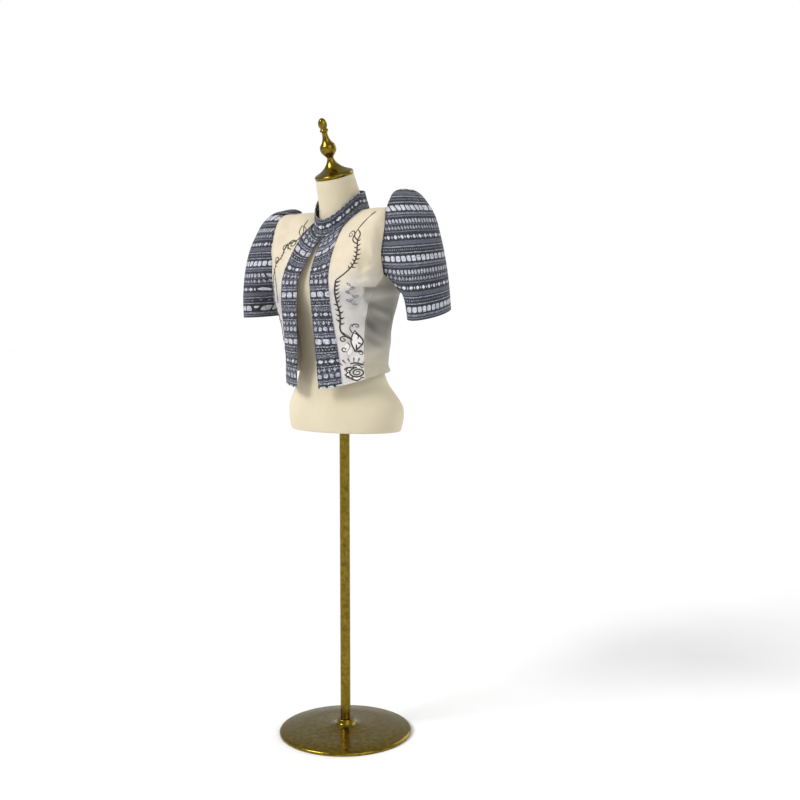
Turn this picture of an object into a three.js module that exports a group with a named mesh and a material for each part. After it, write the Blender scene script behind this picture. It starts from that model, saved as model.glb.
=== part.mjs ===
// A short bolero jacket with tall flat sleeves, worn by a limbless dress form on a pole.
// Millimetres, +Z up. The front faces -Y and the wearer's left is +X.
// The origin is on the floor, at the middle of the base.
import * as THREE from 'three';

// Cloth thickness and the clearances between neighbours
const clothWall = 1.4;
const bandWall = 1.6;
const seamGap = 0.35;

// Bands, collar and centre-front opening
const bandWidth = 53;
const bandOverlap = 14;
const collarHeight = 40;
const collarEndGap = 1.2;
const collarLeanIn = 0.1;
const collarLeanForward = 8;
const neckSeamDrop = 0.045;

// Sleeves
const rimInset = 0.014;
const rimClearance = 0.9;
const pleatCount = 15;
const pleatDepth = 2.3;
const pleatStart = 0.12;
const pleatReach = 0.62;
const pleatFade = 1.5;
const underarmPleatShare = 0.35;
const crownRoundness = 0.3;
const crownTaper = 0.8;
const hemForwardShare = 0.3;
const rowSpacing = 1.25;
const sideHang = 110;
const underarmHang = 42;
const underarmDrop = 16;
const sleeveColumns = 60;
const sleeveRows = 13;

// Dress form and stand
const neckTilt = THREE.MathUtils.degToRad(20);
const poleRadius = 12.5;
const baseRadius = 165;
const baseTop = 34;
const formBottom = 762;

// Loops of the bodice from the neckline down to the hem. Each loop passes through a front,
// a side and a back point. The front panel ends at the angle frontEnd and the back panel
// starts at backStart, in degrees from the centre front. opening is the half gap in front.
// full is how square the front half is, where 2 is an ellipse. dip is how late the loop
// leaves its side height on the way to the front and the back.
const bodiceLoops = [
  { at: 'neckline', dip: 1.4, full: 2, frontY: -80, frontZ: 1228, halfWidth: 64, sideY: -3,
    sideZ: 1292, backY: 63, backZ: 1307, frontEnd: 90, backStart: 90, opening: 1.5 },
  { at: 'yoke', dip: 2.2, full: 2.1, frontY: -98, frontZ: 1204, halfWidth: 102, sideY: -1,
    sideZ: 1295, backY: 80, backZ: 1281, frontEnd: 90, backStart: 90, opening: 5 },
  { at: 'shoulder tip', dip: 2.5, full: 2.2, frontY: -115, frontZ: 1180, halfWidth: 138,
    sideY: 0, sideZ: 1293, backY: 94, backZ: 1249, frontEnd: 90, backStart: 90, opening: 9 },
  { at: 'shoulder edge', dip: 2.6, full: 2.4, frontY: -129, frontZ: 1157, halfWidth: 169,
    sideY: 2, sideZ: 1289, backY: 102, backZ: 1214, frontEnd: 74, backStart: 106, opening: 12 },
  { at: 'upper armhole', dip: 2.6, full: 2.6, frontY: -138, frontZ: 1142, halfWidth: 177,
    sideY: 2, sideZ: 1244, backY: 104, backZ: 1186, frontEnd: 71, backStart: 114, opening: 15 },
  { at: 'lower armhole', dip: 2.6, full: 2.9, frontY: -143, frontZ: 1130, halfWidth: 170,
    sideY: 2, sideZ: 1186, backY: 102, backZ: 1160, frontEnd: 72, backStart: 113, opening: 17 },
  { at: 'underarm', dip: 2.4, full: 3.2, frontY: -146, frontZ: 1116, halfWidth: 158, sideY: 2,
    sideZ: 1134, backY: 99, backZ: 1130, frontEnd: 81, backStart: 81, opening: 19 },
  { at: 'bust', dip: 2, full: 3.2, frontY: -146, frontZ: 1076, halfWidth: 152, sideY: 0,
    sideZ: 1084, backY: 94, backZ: 1084, frontEnd: 69, backStart: 69, opening: 22 },
  { at: 'ribs', dip: 2, full: 2.8, frontY: -142, frontZ: 1018, halfWidth: 139, sideY: -4,
    sideZ: 1026, backY: 84, backZ: 1030, frontEnd: 66, backStart: 66, opening: 25 },
  { at: 'waist', dip: 1.6, full: 2.4, frontY: -139, frontZ: 950, halfWidth: 129, sideY: -12,
    sideZ: 966, backY: 79, backZ: 974, frontEnd: 66, backStart: 66, opening: 29 },
  { at: 'hem', dip: 1.3, full: 2.1, frontY: -137, frontZ: 868, halfWidth: 135, sideY: -20,
    sideZ: 903, backY: 88, backZ: 916, frontEnd: 66, backStart: 66, opening: 34 },
];
const shoulderTip = 2;
const underarm = 6;
const hem = bodiceLoops.length - 1;

// Soft folds in the hanging cloth: where each lies, how far it runs and how deep it is
const folds = [
  { level: 6.7, angle: 84, levelSpan: 0.28, angleSpan: 26, depth: 5 },
  { level: 7.9, angle: 92, levelSpan: 0.3, angleSpan: 22, depth: -4 },
  { level: 8.9, angle: 100, levelSpan: 0.35, angleSpan: 40, depth: 6 },
  { level: 8.6, angle: 52, levelSpan: 1.3, angleSpan: 7, depth: -3 },
  { level: 9.2, angle: 140, levelSpan: 1.2, angleSpan: 9, depth: -5 },
  { level: 7.6, angle: 160, levelSpan: 0.5, angleSpan: 20, depth: 4 },
];

// Each sleeve leaves the armhole upwards by crownRise and outwards by crownOut at the top,
// and by sideOut and forward at the sides. It comes down on its hem over crownHang.
const sleeves = [
  { name: 'sleeve_left', mirror: 1, crownRise: 77, crownOut: 2, crownHang: 328, sideOut: 22,
    forward: 2, flare: 0.07, hemX: 260, hemY: -6, hemHalfX: 42, hemHalfY: 64,
    hemFrontZ: 1028, hemBackZ: 1060 },
  { name: 'sleeve_right', mirror: -1, crownRise: 30, crownOut: -26, crownHang: 302, sideOut: 20,
    forward: 10, flare: -0.07, hemX: 262, hemY: -4, hemHalfX: 42, hemHalfY: 66,
    hemFrontZ: 1036, hemBackZ: 1046 },
];

// Loops of the dress form from the top of the neck down to the flat underside
const formLoops = [
  { at: 'neck top', dip: 1, full: 2, frontY: -78, frontZ: 1357, halfWidth: 46.5, sideY: -34, sideZ: 1373,
    backY: 10, backZ: 1389 },
  { at: 'mid neck', dip: 1, full: 2, frontY: -68, frontZ: 1306, halfWidth: 48, sideY: -19, sideZ: 1334,
    backY: 29, backZ: 1356 },
  { at: 'low neck', dip: 1.6, full: 2, frontY: -64, frontZ: 1262, halfWidth: 53, sideY: -8, sideZ: 1307,
    backY: 47, backZ: 1318 },
  { at: 'neck root', dip: 1.4, full: 2, frontY: -74, frontZ: 1229, halfWidth: 63, sideY: -3, sideZ: 1288,
    backY: 59, backZ: 1304 },
  { at: 'yoke', dip: 2.2, full: 2.1, frontY: -92, frontZ: 1203, halfWidth: 100, sideY: -1, sideZ: 1292.4,
    backY: 76, backZ: 1276 },
  { at: 'cross shoulder', dip: 2.5, full: 2.2, frontY: -106, frontZ: 1178, halfWidth: 134, sideY: 0, sideZ: 1290.4,
    backY: 90, backZ: 1246 },
  { at: 'shoulder edge', dip: 2.6, full: 2.3, frontY: -117, frontZ: 1155, halfWidth: 155, sideY: 2, sideZ: 1277,
    backY: 96, backZ: 1212 },
  { at: 'arm end', dip: 2.6, full: 2.3, frontY: -123, frontZ: 1138, halfWidth: 157, sideY: 2, sideZ: 1228,
    backY: 96, backZ: 1182 },
  { at: 'armpit', dip: 2.4, full: 2.3, frontY: -128, frontZ: 1118, halfWidth: 146, sideY: 0, sideZ: 1166,
    backY: 93, backZ: 1150 },
  { at: 'bust', dip: 2, full: 2.2, frontY: -127, frontZ: 1092, halfWidth: 138, sideY: -2, sideZ: 1108,
    backY: 87, backZ: 1108 },
  { at: 'ribs', dip: 2, full: 2, frontY: -104, frontZ: 1026, halfWidth: 124, sideY: -4, sideZ: 1030,
    backY: 75, backZ: 1030 },
  { at: 'waist', dip: 2.6, full: 2, frontY: -88, frontZ: 951, halfWidth: 112, sideY: -6, sideZ: 951,
    backY: 66, backZ: 951 },
  { at: 'high hip', dip: 2.6, full: 2, frontY: -98, frontZ: 885, halfWidth: 122, sideY: -6, sideZ: 885,
    backY: 74, backZ: 885 },
  { at: 'hip', dip: 2.6, full: 2, frontY: -104, frontZ: 820, halfWidth: 158, sideY: 4, sideZ: 820,
    backY: 112, backZ: 820 },
  { at: 'underside', dip: 2.6, full: 2, frontY: -100, frontZ: 768, halfWidth: 154, sideY: 4, sideZ: 768,
    backY: 108, backZ: 768 },
  { at: 'bottom edge', dip: 2.6, full: 2, frontY: -92, frontZ: formBottom, halfWidth: 146, sideY: 4,
    sideZ: formBottom, backY: 100, backZ: formBottom },
];

function smoothBetween(before, from, to, after, part) {
  const square = part * part;
  const cube = square * part;
  return 0.5 * (2 * from + (to - before) * part
    + (2 * before - 5 * from + 4 * to - after) * square
    + (3 * from - before - 3 * to + after) * cube);
}

// The loop at a fractional level of a table of loops
function loopAt(loops, level) {
  const row = Math.min(Math.max(Math.floor(level), 0), loops.length - 2);
  const part = level - row;
  const pick = (index) => loops[Math.min(Math.max(index, 0), loops.length - 1)];
  const loop = {};
  for (const column of Object.keys(loops[0])) {
    if (column === 'at') continue;
    loop[column] = smoothBetween(pick(row - 1)[column], pick(row)[column],
      pick(row + 1)[column], pick(row + 2)[column], part);
  }
  return loop;
}

// A point of a loop, with the angle in degrees from the centre front towards +X
function loopPoint(loop, degrees) {
  const angle = THREE.MathUtils.degToRad(degrees);
  const forward = Math.cos(angle);
  const endY = forward > 0 ? loop.frontY : loop.backY;
  const endZ = forward > 0 ? loop.frontZ : loop.backZ;
  const power = forward > 0 ? 2 / loop.full : 1;
  const reach = Math.abs(forward);
  const across = Math.sin(angle);
  return new THREE.Vector3(
    Math.sign(across) * loop.halfWidth * Math.abs(across) ** power,
    loop.sideY + (endY - loop.sideY) * reach ** power,
    loop.sideZ + (endZ - loop.sideZ) * reach ** loop.dip,
  );
}

function foldOffset(level, degrees) {
  const fromFront = 180 - Math.abs(180 - degrees);
  let offset = 0;
  for (const fold of folds) {
    const down = (level - fold.level) / fold.levelSpan;
    const round = (fromFront - fold.angle) / fold.angleSpan;
    offset += fold.depth * Math.exp(-down * down - round * round);
  }
  return offset;
}

// A point of the bodice cloth's outer face
function bodicePoint(level, degrees) {
  const point = loopPoint(loopAt(bodiceLoops, level), degrees);
  const outward = new THREE.Vector3(point.x, point.y, 0).normalize();
  return point.addScaledVector(outward, foldOffset(level, degrees));
}

// The angle at which the bodice is a given distance from the centre front
function angleAcross(level, across) {
  const { halfWidth, full } = loopAt(bodiceLoops, level);
  return THREE.MathUtils.radToDeg(Math.asin(Math.min(across / halfWidth, 1) ** (full / 2)));
}

function levelsBetween(from, to, stepsPerLoop) {
  return evenSteps(from, to, Math.round((to - from) * stepsPerLoop));
}

// The levels of a panel's rows, with one row on each corner of the armhole
function panelLevels(stepsPerLoop) {
  return [
    ...levelsBetween(neckSeamDrop, shoulderTip, stepsPerLoop),
    ...levelsBetween(shoulderTip, underarm, stepsPerLoop + 1).slice(1),
    ...levelsBetween(underarm, hem, stepsPerLoop).slice(1),
  ];
}

// A panel's side edge runs along the shoulder, the armhole and the side-front seam in turn,
// smooth within each. It is drawn back from the seam by a distance in millimetres.
function edgeAngle(level, column, setBack) {
  const corners = [0, shoulderTip, underarm, hem];
  const stretch = corners.findIndex((corner, index) => level <= corners[index + 1]);
  const [first, last] = [corners[stretch], corners[stretch + 1]];
  const pick = (index) => bodiceLoops[Math.min(Math.max(index, first), last)][column];
  const row = Math.min(Math.floor(level), last - 1);
  const angle = smoothBetween(pick(row - 1), pick(row), pick(row + 1), pick(row + 2), level - row);
  return angle + THREE.MathUtils.radToDeg(setBack / loopAt(bodiceLoops, level).halfWidth);
}

function evenSteps(first, last, steps) {
  return Array.from({ length: steps + 1 }, (unused, step) => first + ((last - first) * step) / steps);
}

// Rows of points on the bodice, one for each level, through the angles given for that level
function panelGrid(anglesAt) {
  return panelLevels(2).map((level) => (
    anglesAt(level).map((degrees) => bodicePoint(level, degrees))));
}

// Unit normals of a grid, pointing to the side of (down the rows) x (along the columns)
function gridNormals(grid, closed) {
  const lastRow = grid.length - 1;
  const count = grid[0].length;
  return grid.map((row, r) => row.map((point, c) => {
    const next = closed ? (c + 1) % count : Math.min(c + 1, count - 1);
    const previous = closed ? (c - 1 + count) % count : Math.max(c - 1, 0);
    const along = new THREE.Vector3().subVectors(row[next], row[previous]);
    const down = new THREE.Vector3().subVectors(
      grid[Math.min(r + 1, lastRow)][c], grid[Math.max(r - 1, 0)][c]);
    return down.cross(along).normalize();
  }));
}

function movedGrid(grid, distance, closed) {
  const normals = gridNormals(grid, closed);
  return grid.map((row, r) => row.map((point, c) => (
    point.clone().addScaledVector(normals[r][c], distance))));
}

function meshFromTriangles(name, points, triangles, material) {
  const geometry = new THREE.BufferGeometry();
  const positions = points.flatMap((point) => [point.x, point.y, point.z]);
  geometry.setAttribute('position', new THREE.Float32BufferAttribute(positions, 3));
  geometry.setIndex(triangles.flat());
  geometry.computeVertexNormals();
  const mesh = new THREE.Mesh(geometry, material);
  mesh.name = name;
  return mesh;
}

// A cloth wall: the grid is its outer face, and the inner face lies one wall further in
function clothMesh(name, grid, wall, closed, material) {
  const inner = movedGrid(grid, -wall, closed);
  const rows = grid.length;
  const columns = grid[0].length;
  const points = [...grid.flat(), ...inner.flat()];
  const outerAt = (r, c) => r * columns + (c % columns);
  const innerAt = (r, c) => rows * columns + r * columns + (c % columns);
  const triangles = [];
  const quad = (a, b, c, d) => triangles.push([a, b, c], [a, c, d]);
  const spans = closed ? columns : columns - 1;
  for (let r = 0; r < rows - 1; r += 1) {
    for (let c = 0; c < spans; c += 1) {
      quad(outerAt(r, c), outerAt(r + 1, c), outerAt(r + 1, c + 1), outerAt(r, c + 1));
      quad(innerAt(r, c), innerAt(r, c + 1), innerAt(r + 1, c + 1), innerAt(r + 1, c));
    }
    if (!closed) {
      const last = columns - 1;
      quad(outerAt(r, 0), innerAt(r, 0), innerAt(r + 1, 0), outerAt(r + 1, 0));
      quad(outerAt(r, last), outerAt(r + 1, last), innerAt(r + 1, last), innerAt(r, last));
    }
  }
  for (let c = 0; c < spans; c += 1) {
    const last = rows - 1;
    quad(outerAt(0, c), outerAt(0, c + 1), innerAt(0, c + 1), innerAt(0, c));
    quad(outerAt(last, c), innerAt(last, c), innerAt(last, c + 1), outerAt(last, c + 1));
  }
  return meshFromTriangles(name, points, triangles, material);
}

// A solid through closed loops, with a flat face over the first and the last
function loftMesh(name, grid, material) {
  const rows = grid.length;
  const columns = grid[0].length;
  const middle = (row) => row.reduce((sum, point) => sum.add(point), new THREE.Vector3())
    .divideScalar(row.length);
  const points = [...grid.flat(), middle(grid[0]), middle(grid[rows - 1])];
  const at = (r, c) => r * columns + (c % columns);
  const top = rows * columns;
  const triangles = [];
  for (let c = 0; c < columns; c += 1) {
    for (let r = 0; r < rows - 1; r += 1) {
      triangles.push([at(r, c), at(r + 1, c), at(r + 1, c + 1)]);
      triangles.push([at(r, c), at(r + 1, c + 1), at(r, c + 1)]);
    }
    triangles.push([top, at(0, c), at(0, c + 1)]);
    triangles.push([top + 1, at(rows - 1, c + 1), at(rows - 1, c)]);
  }
  return meshFromTriangles(name, points, triangles, material);
}

function mirroredGrid(grid, mirror) {
  if (mirror > 0) return grid;
  return grid.map((row) => row.map((point) => new THREE.Vector3(-point.x, point.y, point.z))
    .reverse());
}

const finish = (color, roughness, metalness = 0) => (
  new THREE.MeshStandardMaterial({ color, roughness, metalness }));
const embroideredCloth = finish(0xe9dfc6, 0.75);
const sheerCloth = finish(0xd8cfb6, 0.6);
const patternedCloth = finish(0x5d6478, 0.85);
const linen = finish(0xd9ccae, 0.9);
const brass = finish(0x9a8430, 0.25, 1);

// Distances from the centre front to the opening, along the band and to the band's edge
function bandAngles(level) {
  const { opening } = loopAt(bodiceLoops, level);
  const steps = [0, bandWidth / 4, bandWidth / 2, bandWidth - bandOverlap, bandWidth];
  return steps.map((step) => angleAcross(level, opening + step));
}

// The front panel starts under the band, on the band's own last two lines of points
function frontPanel(name, mirror) {
  const grid = panelGrid((level) => {
    const [underBand, bandEdge] = bandAngles(level).slice(-2);
    return [underBand, ...evenSteps(bandEdge, edgeAngle(level, 'frontEnd', -seamGap), 10)];
  });
  return clothMesh(name, mirroredGrid(grid, mirror), clothWall, false, embroideredCloth);
}

function backPanel() {
  const grid = panelGrid((level) => {
    const first = edgeAngle(level, 'backStart', seamGap);
    return evenSteps(first, 360 - first, 24);
  });
  return clothMesh('back', grid, clothWall, false, sheerCloth);
}

function frontBand(name, mirror) {
  const grid = panelGrid(bandAngles);
  const outer = movedGrid(grid, seamGap + bandWall, false);
  return clothMesh(name, mirroredGrid(outer, mirror), bandWall, false, patternedCloth);
}

// The stand collar rises from the neckline and leans in and forward with the neck
function collar() {
  const columns = 44;
  const rows = 3;
  const firstAngle = THREE.MathUtils.radToDeg(collarEndGap / bodiceLoops[0].halfWidth);
  const span = 360 - 2 * firstAngle;
  const grid = [];
  for (let r = 0; r <= rows; r += 1) {
    const height = 1 - r / rows;
    grid.push(Array.from({ length: columns + 1 }, (unused, column) => {
      const degrees = firstAngle + (span * column) / columns;
      const foot = loopPoint(bodiceLoops[0], degrees);
      const inward = 1 - collarLeanIn * height;
      return new THREE.Vector3(
        foot.x * inward,
        foot.y * inward - collarLeanForward * height,
        foot.z + seamGap + collarHeight * height,
      );
    }));
  }
  return clothMesh('collar', grid, bandWall, false, patternedCloth);
}

// The armhole's edge from the shoulder tip over the back to the underarm and up the front
function armholeRim() {
  const levels = levelsBetween(shoulderTip, underarm, 5);
  const backEdge = levels.map((level) => bodicePoint(level, edgeAngle(level, 'backStart', 0)));
  const frontEdge = levels.map((level) => bodicePoint(level, edgeAngle(level, 'frontEnd', 0)));
  const rim = new THREE.CatmullRomCurve3([...backEdge, ...frontEdge.reverse().slice(1, -1)], true);
  return Array.from({ length: sleeveColumns }, (unused, column) => (
    rim.getPointAt(column / sleeveColumns)));
}

function pleatOffset(round, down) {
  const growth = Math.min(down / pleatStart, 1);
  const fade = Math.max(1 - down / pleatReach, 0) ** pleatFade;
  const crownShare = THREE.MathUtils.mapLinear(Math.cos(round), -1, 1, underarmPleatShare, 1);
  return -pleatDepth * growth * fade * crownShare * (1 - Math.cos(pleatCount * round));
}

function sleeve(shape) {
  const rim = armholeRim();
  const centre = rim.reduce((sum, point) => sum.add(point), new THREE.Vector3())
    .divideScalar(rim.length);
  const paths = rim.map((edge, column) => {
    const round = (2 * Math.PI * column) / sleeveColumns;
    const up = Math.cos(round);
    const back = Math.sin(round);
    const start = edge.clone().lerp(centre, rimInset);
    start.x += rimClearance;
    const hemPoint = new THREE.Vector3(
      shape.hemX + shape.hemHalfX * up,
      shape.hemY + shape.hemHalfY * back,
      THREE.MathUtils.mapLinear(back, -1, 1, shape.hemFrontZ, shape.hemBackZ),
    );
    const rise = Math.max(up, 0) ** crownRoundness;
    const outwards = new THREE.Vector3(
      THREE.MathUtils.lerp(shape.sideOut, shape.crownOut, rise),
      back * shape.forward,
      rise * shape.crownRise + Math.min(up, 0) * underarmDrop,
    );
    const hang = up > 0
      ? THREE.MathUtils.lerp(sideHang, shape.crownHang, up ** crownTaper)
      : THREE.MathUtils.lerp(sideHang, underarmHang, -up);
    return new THREE.CubicBezierCurve3(
      start,
      start.clone().add(outwards),
      hemPoint.clone().add(new THREE.Vector3(-shape.flare * hang, hemForwardShare * back * shape.forward, hang)),
      hemPoint,
    );
  });
  const plain = [];
  for (let r = 0; r <= sleeveRows; r += 1) {
    const down = r / sleeveRows;
    plain.push(paths.map((path) => path.getPoint(down ** rowSpacing)));
  }
  const normals = gridNormals(plain, true);
  const grid = plain.map((row, r) => row.map((point, column) => {
    const round = (2 * Math.PI * column) / sleeveColumns;
    return point.clone().addScaledVector(normals[r][column],
      pleatOffset(round, r / sleeveRows));
  }));
  return clothMesh(shape.name, mirroredGrid(grid, shape.mirror), clothWall, true,
    patternedCloth);
}

function dressForm() {
  const columns = 32;
  const levels = levelsBetween(0, formLoops.length - 1, 2);
  const grid = levels.map((level) => {
    const loop = loopAt(formLoops, level);
    return Array.from({ length: columns }, (unused, column) => (
      loopPoint(loop, (360 * column) / columns)));
  });
  return loftMesh('form', grid, linen);
}

function turned(name, profile, segments, material) {
  const points = profile.map(([radius, height]) => new THREE.Vector2(radius, height));
  const mesh = new THREE.Mesh(new THREE.LatheGeometry(points, segments), material);
  mesh.name = name;
  mesh.geometry.rotateX(Math.PI / 2);
  return mesh;
}

// The cap's domed plate, turned stem, bulb and small ball, as radius and height
function neckCap() {
  const cap = turned('neck_cap', [
    [0, 0], [45.5, 0], [47, 2], [47, 6], [44, 9], [35, 13], [25, 19], [16.5, 27], [10.5, 36],
    [8, 43], [9, 47], [14, 53], [18.5, 60], [19.5, 67], [18, 74], [13.5, 80], [9.5, 87],
    [7.2, 96], [6.8, 104], [10, 108], [10, 111], [7.5, 114], [10.2, 120], [10.4, 127],
    [7, 135], [0, 139],
  ], 24, brass);
  const neckTop = formLoops[0];
  cap.position.set(0, neckTop.sideY, neckTop.sideZ + seamGap + 0.4);
  cap.rotation.x = neckTilt;
  return cap;
}

function pole() {
  const height = formBottom - baseTop - 2 * seamGap;
  const mesh = new THREE.Mesh(new THREE.CylinderGeometry(poleRadius, poleRadius, height, 24), brass);
  mesh.geometry.rotateX(Math.PI / 2);
  mesh.position.z = baseTop + seamGap + height / 2;
  mesh.name = 'pole';
  return mesh;
}

function base() {
  return turned('base', [
    [0, 0], [baseRadius, 0], [baseRadius, 6], [baseRadius - 6, 10], [60, 15], [28, 20],
    [21, 26], [21, baseTop], [0, baseTop],
  ], 48, brass);
}

const jacket = new THREE.Group();
jacket.add(
  frontPanel('front_left', 1),
  frontPanel('front_right', -1),
  backPanel(),
  frontBand('band_left', 1),
  frontBand('band_right', -1),
  collar(),
  ...sleeves.map(sleeve),
  dressForm(),
  neckCap(),
  pole(),
  base(),
);

export default jacket;
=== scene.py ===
# A short bolero jacket on a limbless dress form, on a pole with a round base.
# Metres, +Z up. The jacket's front faces -Y and the wearer's left is +X.
from collections import namedtuple
from math import asin, ceil, cos, degrees, exp, floor, hypot, pi, radians, sin

import bmesh
import bpy
from mathutils import Matrix, Vector
from mathutils.bvhtree import BVHTree


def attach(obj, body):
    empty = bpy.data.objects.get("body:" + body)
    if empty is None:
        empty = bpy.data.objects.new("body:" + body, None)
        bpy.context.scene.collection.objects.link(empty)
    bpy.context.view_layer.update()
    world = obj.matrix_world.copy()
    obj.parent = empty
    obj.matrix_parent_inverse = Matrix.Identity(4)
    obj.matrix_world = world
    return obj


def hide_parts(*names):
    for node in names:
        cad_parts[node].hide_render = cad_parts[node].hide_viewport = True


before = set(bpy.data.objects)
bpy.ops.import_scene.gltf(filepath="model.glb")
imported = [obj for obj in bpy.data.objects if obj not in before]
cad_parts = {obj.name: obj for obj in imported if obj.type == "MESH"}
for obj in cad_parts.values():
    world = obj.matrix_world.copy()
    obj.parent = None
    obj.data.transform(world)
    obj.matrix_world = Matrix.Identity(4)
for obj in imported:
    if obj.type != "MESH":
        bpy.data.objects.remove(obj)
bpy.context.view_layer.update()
bpy.ops.object.select_all(action="DESELECT")

# Camera: a little below chest height, to the front on the wearer's left
CAMERA_PLACE = (1.7355, -2.0683, 1.03)
CAMERA_RISE, CAMERA_TURN = radians(85.84), radians(37.1)
LENS_MM, SENSOR_MM = 49.5, 36

bpy.ops.object.camera_add(location=CAMERA_PLACE, rotation=(CAMERA_RISE, 0, CAMERA_TURN))
camera = bpy.context.object
camera.name = "camera"
camera.data.lens = LENS_MM
camera.data.sensor_width = SENSOR_MM
bpy.context.scene.camera = camera


# Materials are written as sums of shader values
class Value:
    """A number or a vector inside a material. Arithmetic on it adds Math nodes."""

    def __init__(self, finish, socket):
        self.finish = finish
        self.socket = socket

    def maths(self, operation, *others):
        return self.finish.node("ShaderNodeMath", {"operation": operation}, [self, *others])

    def __add__(self, other):
        return self.maths("ADD", other)

    def __sub__(self, other):
        return self.maths("SUBTRACT", other)

    def __mul__(self, other):
        return self.maths("MULTIPLY", other)

    def __truediv__(self, other):
        return self.maths("DIVIDE", other)

    def __pow__(self, other):
        return self.maths("POWER", other)

    def __rsub__(self, other):
        return self.finish.node("ShaderNodeMath", {"operation": "SUBTRACT"}, [other, self])

    def __rtruediv__(self, other):
        return self.finish.node("ShaderNodeMath", {"operation": "DIVIDE"}, [other, self])

    def __abs__(self):
        return self.maths("ABSOLUTE")

    def below(self, limit):
        """1 where the value is under the limit, else 0."""
        return self.maths("LESS_THAN", limit)

    def above(self, limit):
        return self.maths("GREATER_THAN", limit)

    def near(self, middle, reach):
        """1 where the value is within reach of the middle, else 0."""
        return self.maths("COMPARE", middle, reach)

    def part(self):
        """What is left of the value above the whole number under it."""
        return self.maths("FRACT")

    def wave(self):
        return self.maths("SINE")

    def most(self, other):
        return self.maths("MAXIMUM", other)

    def least(self, other):
        return self.maths("MINIMUM", other)

    def as_share(self):
        """The value kept between 0 and 1."""
        return self.least(1.0).most(0.0)


class Finish:
    """A procedural material built round one Principled shader."""

    def __init__(self, name, **constants):
        self.material = bpy.data.materials.new(name)
        self.material.use_nodes = True
        self.tree = self.material.node_tree
        self.shader = self.tree.nodes["Principled BSDF"]
        for socket, amount in constants.items():
            self.shader.inputs[socket.replace("_", " ")].default_value = amount

    def fill(self, socket, amount):
        if isinstance(amount, Value):
            self.tree.links.new(amount.socket, socket)
        else:
            socket.default_value = amount

    def node(self, kind, settings=None, inputs=(), output=0):
        """Adds any node: its type, its settings, then its inputs in order or by name."""
        node = self.tree.nodes.new(kind)
        for setting, choice in (settings or {}).items():
            setattr(node, setting, choice)
        named = inputs.items() if isinstance(inputs, dict) else enumerate(inputs)
        for key, amount in named:
            self.fill(node.inputs[key], amount)
        return Value(self, node.outputs[output])

    def place(self):
        """The point on the piece, in its own metres."""
        return self.node("ShaderNodeTexCoord", output="Object")

    def along_cloth(self):
        """Distances across and along the cloth, in metres, from its own map."""
        flat = self.node("ShaderNodeUVMap", {"uv_map": "Cloth"})
        split = self.node("ShaderNodeSeparateXYZ", inputs=[flat])
        return split, Value(self, split.socket.node.outputs[1])

    def axes(self, place):
        split = self.node("ShaderNodeSeparateXYZ", inputs=[place])
        outputs = split.socket.node.outputs
        return [Value(self, outputs[axis]) for axis in range(3)]

    def fold_share(self, depth):
        """0 in the deepest trough and 1 on the highest ridge, from the mesh's own creases, for painted
        shade in the troughs and painted highlight on the ridges.
        """
        fold = self.node("ShaderNodeAttribute", {"attribute_name": "Fold"}, output="Fac")
        return (fold / depth * 0.5 + 0.5).as_share()

    def noise(self, place, scale, detail=2.0):
        return self.node("ShaderNodeTexNoise", inputs={"Vector": place, "Scale": scale, "Detail": detail})

    def blend(self, share, first, second):
        """A colour that goes from the first to the second as share goes from 0 to 1."""
        sockets = {0: share, 6: first, 7: second}
        return self.node("ShaderNodeMix", {"data_type": "RGBA"}, sockets, output=2)

    def bump(self, height, distance, strength=1.0):
        inputs = {"Height": height, "Distance": distance, "Strength": strength}
        normal = self.node("ShaderNodeBump", inputs=inputs)
        self.fill(self.shader.inputs["Normal"], normal)

    def show(self, socket, amount):
        self.fill(self.shader.inputs[socket], amount)

    def cover(self, piece):
        piece.data.materials.clear()
        piece.data.materials.append(self.material)


def paint(red, green, blue):
    """A colour as a shader takes it, from the 0 to 255 values of a screen colour."""
    return tuple((shade / 255) ** 2.2 for shade in (red, green, blue)) + (1.0,)


# Plain pale floor and soft studio light
FLOOR_SIZE = 60

bpy.ops.mesh.primitive_plane_add(size=FLOOR_SIZE, location=(0, 0, 0))
studio_floor = bpy.context.object
studio_floor.name = "studio_floor"
floor_paint = Finish("floor_paint", Roughness=0.9)
dust = floor_paint.noise(floor_paint.place(), 3.0)
floor_paint.show("Base Color", floor_paint.blend(dust, paint(243, 243, 243), paint(250, 250, 250)))
floor_paint.cover(studio_floor)

SKY_LIGHT = 0.5

world = bpy.data.worlds.new("studio")
bpy.context.scene.world = world
world.use_nodes = True
sky = world.node_tree
seen_sky = sky.nodes["Background"]
seen_sky.inputs["Color"].default_value = (1, 1, 1, 1)
lit_sky = sky.nodes.new("ShaderNodeBackground")
lit_sky.inputs["Color"].default_value = (1, 1, 1, 1)
lit_sky.inputs["Strength"].default_value = SKY_LIGHT
ray_kind = sky.nodes.new("ShaderNodeLightPath")
sky_choice = sky.nodes.new("ShaderNodeMixShader")
sky.links.new(ray_kind.outputs["Is Camera Ray"], sky_choice.inputs[0])
sky.links.new(lit_sky.outputs[0], sky_choice.inputs[1])
sky.links.new(seen_sky.outputs[0], sky_choice.inputs[2])
sky.links.new(sky_choice.outputs[0], sky.nodes["World Output"].inputs[0])
bpy.context.scene.view_settings.view_transform = "Standard"

SoftLight = namedtuple("SoftLight", "name place spread strength")
SOFT_LIGHTS = [
    SoftLight("key", (-1.0, -2.6, 3.2), 24, 2.3),
    SoftLight("fill", (2.9, -1.2, 2.4), 45, 0.7),
    SoftLight("rim", (0.6, 2.8, 2.4), 45, 0.7),
]
AIM = Vector((0, 0, 1.1))

for light in SOFT_LIGHTS:
    bpy.ops.object.light_add(type="SUN", location=light.place)
    lamp = bpy.context.object
    lamp.name = light.name
    lamp.data.angle = radians(light.spread)
    lamp.data.energy = light.strength
    lamp.rotation_euler = (AIM - Vector(light.place)).to_track_quat("-Z", "Y").to_euler()


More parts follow.
